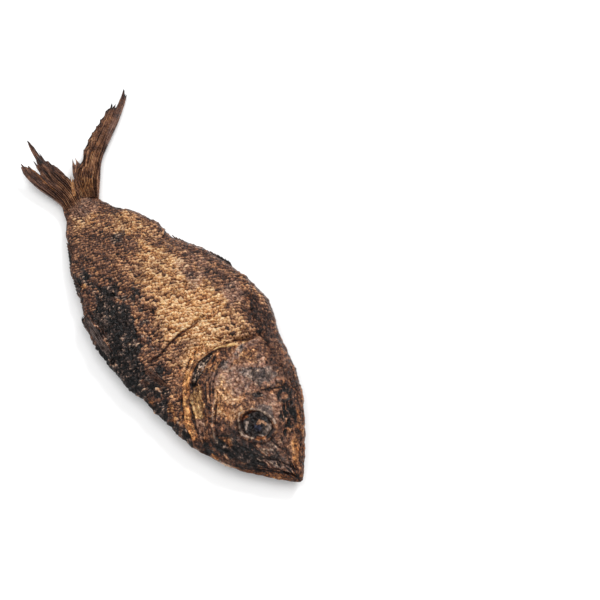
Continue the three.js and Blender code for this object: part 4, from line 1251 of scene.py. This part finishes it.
def skin_material(name, flecked):
    """Smoked skin. flecked is 1 on the body and less on the fins, which have smaller marks."""
    material, tree, shader = new_material(name)
    n = Nodes(tree)
    fine, medium, broad = n.noise(1.1, 4, 0.6), n.noise(4.5, 4, 0.6, 0.31), n.noise(16, 3, 0.55, 0.77)
    scaled, creases, gap = n.mask("scaled"), n.mask("creases"), n.mask("gap")
    rugged = (1.0 - n.mask("sleek") * 0.75) * flecked
    lean, rim, raised, scale_number = n.scale_at()
    tone, tint, off_middle = n.flecks(0.85, 1.1, 0.95)
    own = n.choose(scaled, tone, scale_number)

    # light: where in its ramp a place's colour is taken from. Each scale gets a painted highlight on its
    # tail-and-back side and painted shade along its rim.
    scale_highlight_and_shade = lean * 0.44 - n.range(rim, 0.3, 0.0) * 0.58 + 0.08
    light = n.mask("tip") * 0.95 + n.mask("number") * 0.1 - 0.07 + (fine - 0.5) * (rugged * 1.1 + 0.4)
    light = light + (own - 0.5) * (0.42 * flecked) + scale_highlight_and_shade * (scaled * flecked)
    light = (light + (medium - 0.5) * 0.5).clamped()
    ramps = n.ramps(light, SKIN_RAMPS)
    bluish = n.range(n.noise(6, 3, 0.6, 0.52), 0.5, 0.65) + n.range(n.mask("grey"), 1.0, 1.4)
    ramps["grey"] = n.mix(bluish.clamped(), ramps["violet"], ramps["slate"])

    # each mask lays its ramp over what is there: from and to, and what its edge wanders with
    both = medium * 0.6 + own * 0.4
    colour = n.mix(n.range(broad, 0.35, 0.65), ramps["brown"], n.mix(0.4, ramps["brown"], ramps["dusk"]))
    for mask, ramp, low, high, wander, by, share in (
            ("gold", "gold", 0.12, 0.75, 0.9, both, 1), ("grey", "grey", 0.25, 0.85, 0.5, medium, 1),
            ("dusk", "dusk", 0.2, 0.7, 0.5, medium, 1), ("olive", "moss", 0.3, 0.8, 0.4, medium, 1),
            ("char", "soot", 0.3, 0.65, 0.7, both, 1), ("amber", "rust", 0.3, 0.85, 0.7, fine, 1),
            ("pale", "straw", 0.3, 0.8, 0.3, medium, 1), ("ash_and_highlight", "ash_and_highlight", 0.3, 0.9, 0.4, fine, 0.9)):
        laid = n.range(n.mask(mask) + (by - 0.5) * wander, low, high)
        colour = n.mix(laid if share == 1 else laid * share, colour, ramps[ramp])
    colour = n.mix(0.4 + 0.6 * flecked, colour, n.ramp(tint, TINTS), "MULTIPLY")

    # painted glints, pores, warmer and duller places with crisp edges, painted highlights on the ridges of
    # creases, and painted shade in their grooves and in the skin's grooves and pits
    glint = n.range(tone, 0.62, 0.8) * n.range(off_middle, 0.55, 0.2) * rugged
    pore = n.range(tone, 0.34, 0.18) * n.range(off_middle, 0.6, 0.3) * rugged
    warm = n.range(n.noise(4.4, 4, 0.6, 0.66), 0.53, 0.59) * (creases * 0.8)
    dull = n.range(n.noise(5.2, 4, 0.6, 0.92), 0.45, 0.39) * (creases * 0.8)
    groove, ridge = (n.math("MAXIMUM", large, small * 0.8)
                     for large, small in zip(n.creases(5.2, 0.21), n.creases(2.8, 0.83)))
    for where, by in ((glint, (1.6, 1.6, 1.55)), (pore, (0.3, 0.27, 0.27)), (warm, (1.55, 1.38, 1.16)),
                      (dull, (0.52, 0.56, 0.64)), (ridge * creases, (1.6, 1.6, 1.6)),
                      (groove * creases, (0.3, 0.27, 0.26)), (n.range(gap, 0.05, 0.6), srgb(112, 78, 60))):
        colour = n.multiplied(where, colour, by)
    # painted shade: grooves, pits and cracks turn browner in the loop above and nearly black where they are
    # deepest
    colour = n.mix(n.range(gap, 0.55, 1.0), colour, srgb(9, 6, 6))
    n.put(colour, shader.inputs["Base Color"])

    rough = (fine * 0.34 + 0.14 + n.mask("tip") * -0.08).clamped()
    n.put((rough + creases * -0.07).clamped(), shader.inputs["Roughness"])
    shader.inputs["IOR"].default_value = 1.3
    height = (n.noise(0.42, 3, 0.6, 0.13) * 0.5 + fine * 0.8) * (1.0 - creases * 0.45)
    height = height + n.noise(2.6, 2, 0.5, 0.47) * (creases * 1.6) + off_middle * (-0.5 * flecked)
    height = height + raised * (scaled * (0.6 * flecked)) - groove * (creases * 0.7)
    bumped = n.add("ShaderNodeBump", {"Strength": 0.8, "Distance": 0.0005, "Height": height})
    n.put(bumped.outputs[0], shader.inputs["Normal"])
    return material


def eye_material():
    material, tree, shader = new_material("dried_eye")
    n = Nodes(tree)
    light = (n.mask("tip") + (n.noise(0.9, 4, 0.6, 0.4) - 0.5) * 0.6).clamped()
    ramps = n.ramps(light, EYE_RAMPS)
    colour = ramps["dark"]
    for mask, low, high in (("lens", 0.25, 0.75), ("rim", 0.2, 0.8), ("rust", 0.3, 0.8), ("tan", 0.3, 0.8)):
        colour = n.mix(n.range(n.mask(mask), low, high), colour, ramps[mask])
    n.put(colour, shader.inputs["Base Color"])
    shader.inputs["Roughness"].default_value = 0.3
    shader.inputs["IOR"].default_value = 1.35
    return material


# ------------------------------------------------------------------------------------ stage, lights, camera
def make_stage():
    bpy.ops.mesh.primitive_plane_add(size=6, location=(0, 0, -0.0002))
    floor = bpy.context.object
    floor.name = "floor"
    material, _, shader = new_material("floor")
    shader.inputs["Base Color"].default_value = (0.93, 0.93, 0.93, 1)
    shader.inputs["Roughness"].default_value = 0.9
    floor.data.materials.append(material)
    world = bpy.data.worlds.new("studio")
    bpy.context.scene.world = world
    world.use_nodes = True
    world.node_tree.nodes["Background"].inputs[0].default_value = (1, 1, 1, 1)
    world.node_tree.nodes["Background"].inputs[1].default_value = 0.63


def area_light(name, location, size, watts):
    """A square light that shines at the origin."""
    data = bpy.data.lights.new(name, "AREA")
    data.shape = "SQUARE"
    data.size = size
    data.energy = watts
    light = bpy.data.objects.new(name, data)
    light.location = location
    light.rotation_euler = (-Vector(location)).to_track_quat("-Z", "Y").to_euler()
    bpy.context.scene.collection.objects.link(light)


def make_camera():
    towards = Vector(TOWARDS)
    right = Vector((math.cos(AZIMUTH), math.sin(AZIMUTH), 0))
    data = bpy.data.cameras.new("camera")
    data.lens, data.sensor_width = 85, 36
    camera = bpy.data.objects.new("camera", data)
    turn = Matrix((right, towards.cross(right), towards)).transposed()
    place = Vector(to_row(AIM)) + towards * (DISTANCE / 1000)
    camera.matrix_world = Matrix.Translation(place) @ turn.to_4x4()
    bpy.context.scene.collection.objects.link(camera)
    bpy.context.scene.camera = camera


fin_material = skin_material("smoked_fin", 0.2)
finished_skin = make_skin(skin_material("smoked_skin", 1.0))
make_tail()
make_fins()
make_eyes(eye_material())
make_stage()
area_light("key", (-0.3, 0.9, 1.0), 0.35, 8)
area_light("softbox", (0.0, -0.02, 1.2), 1.0, 8.5)
make_camera()
bpy.context.scene.view_settings.view_transform = "Standard"
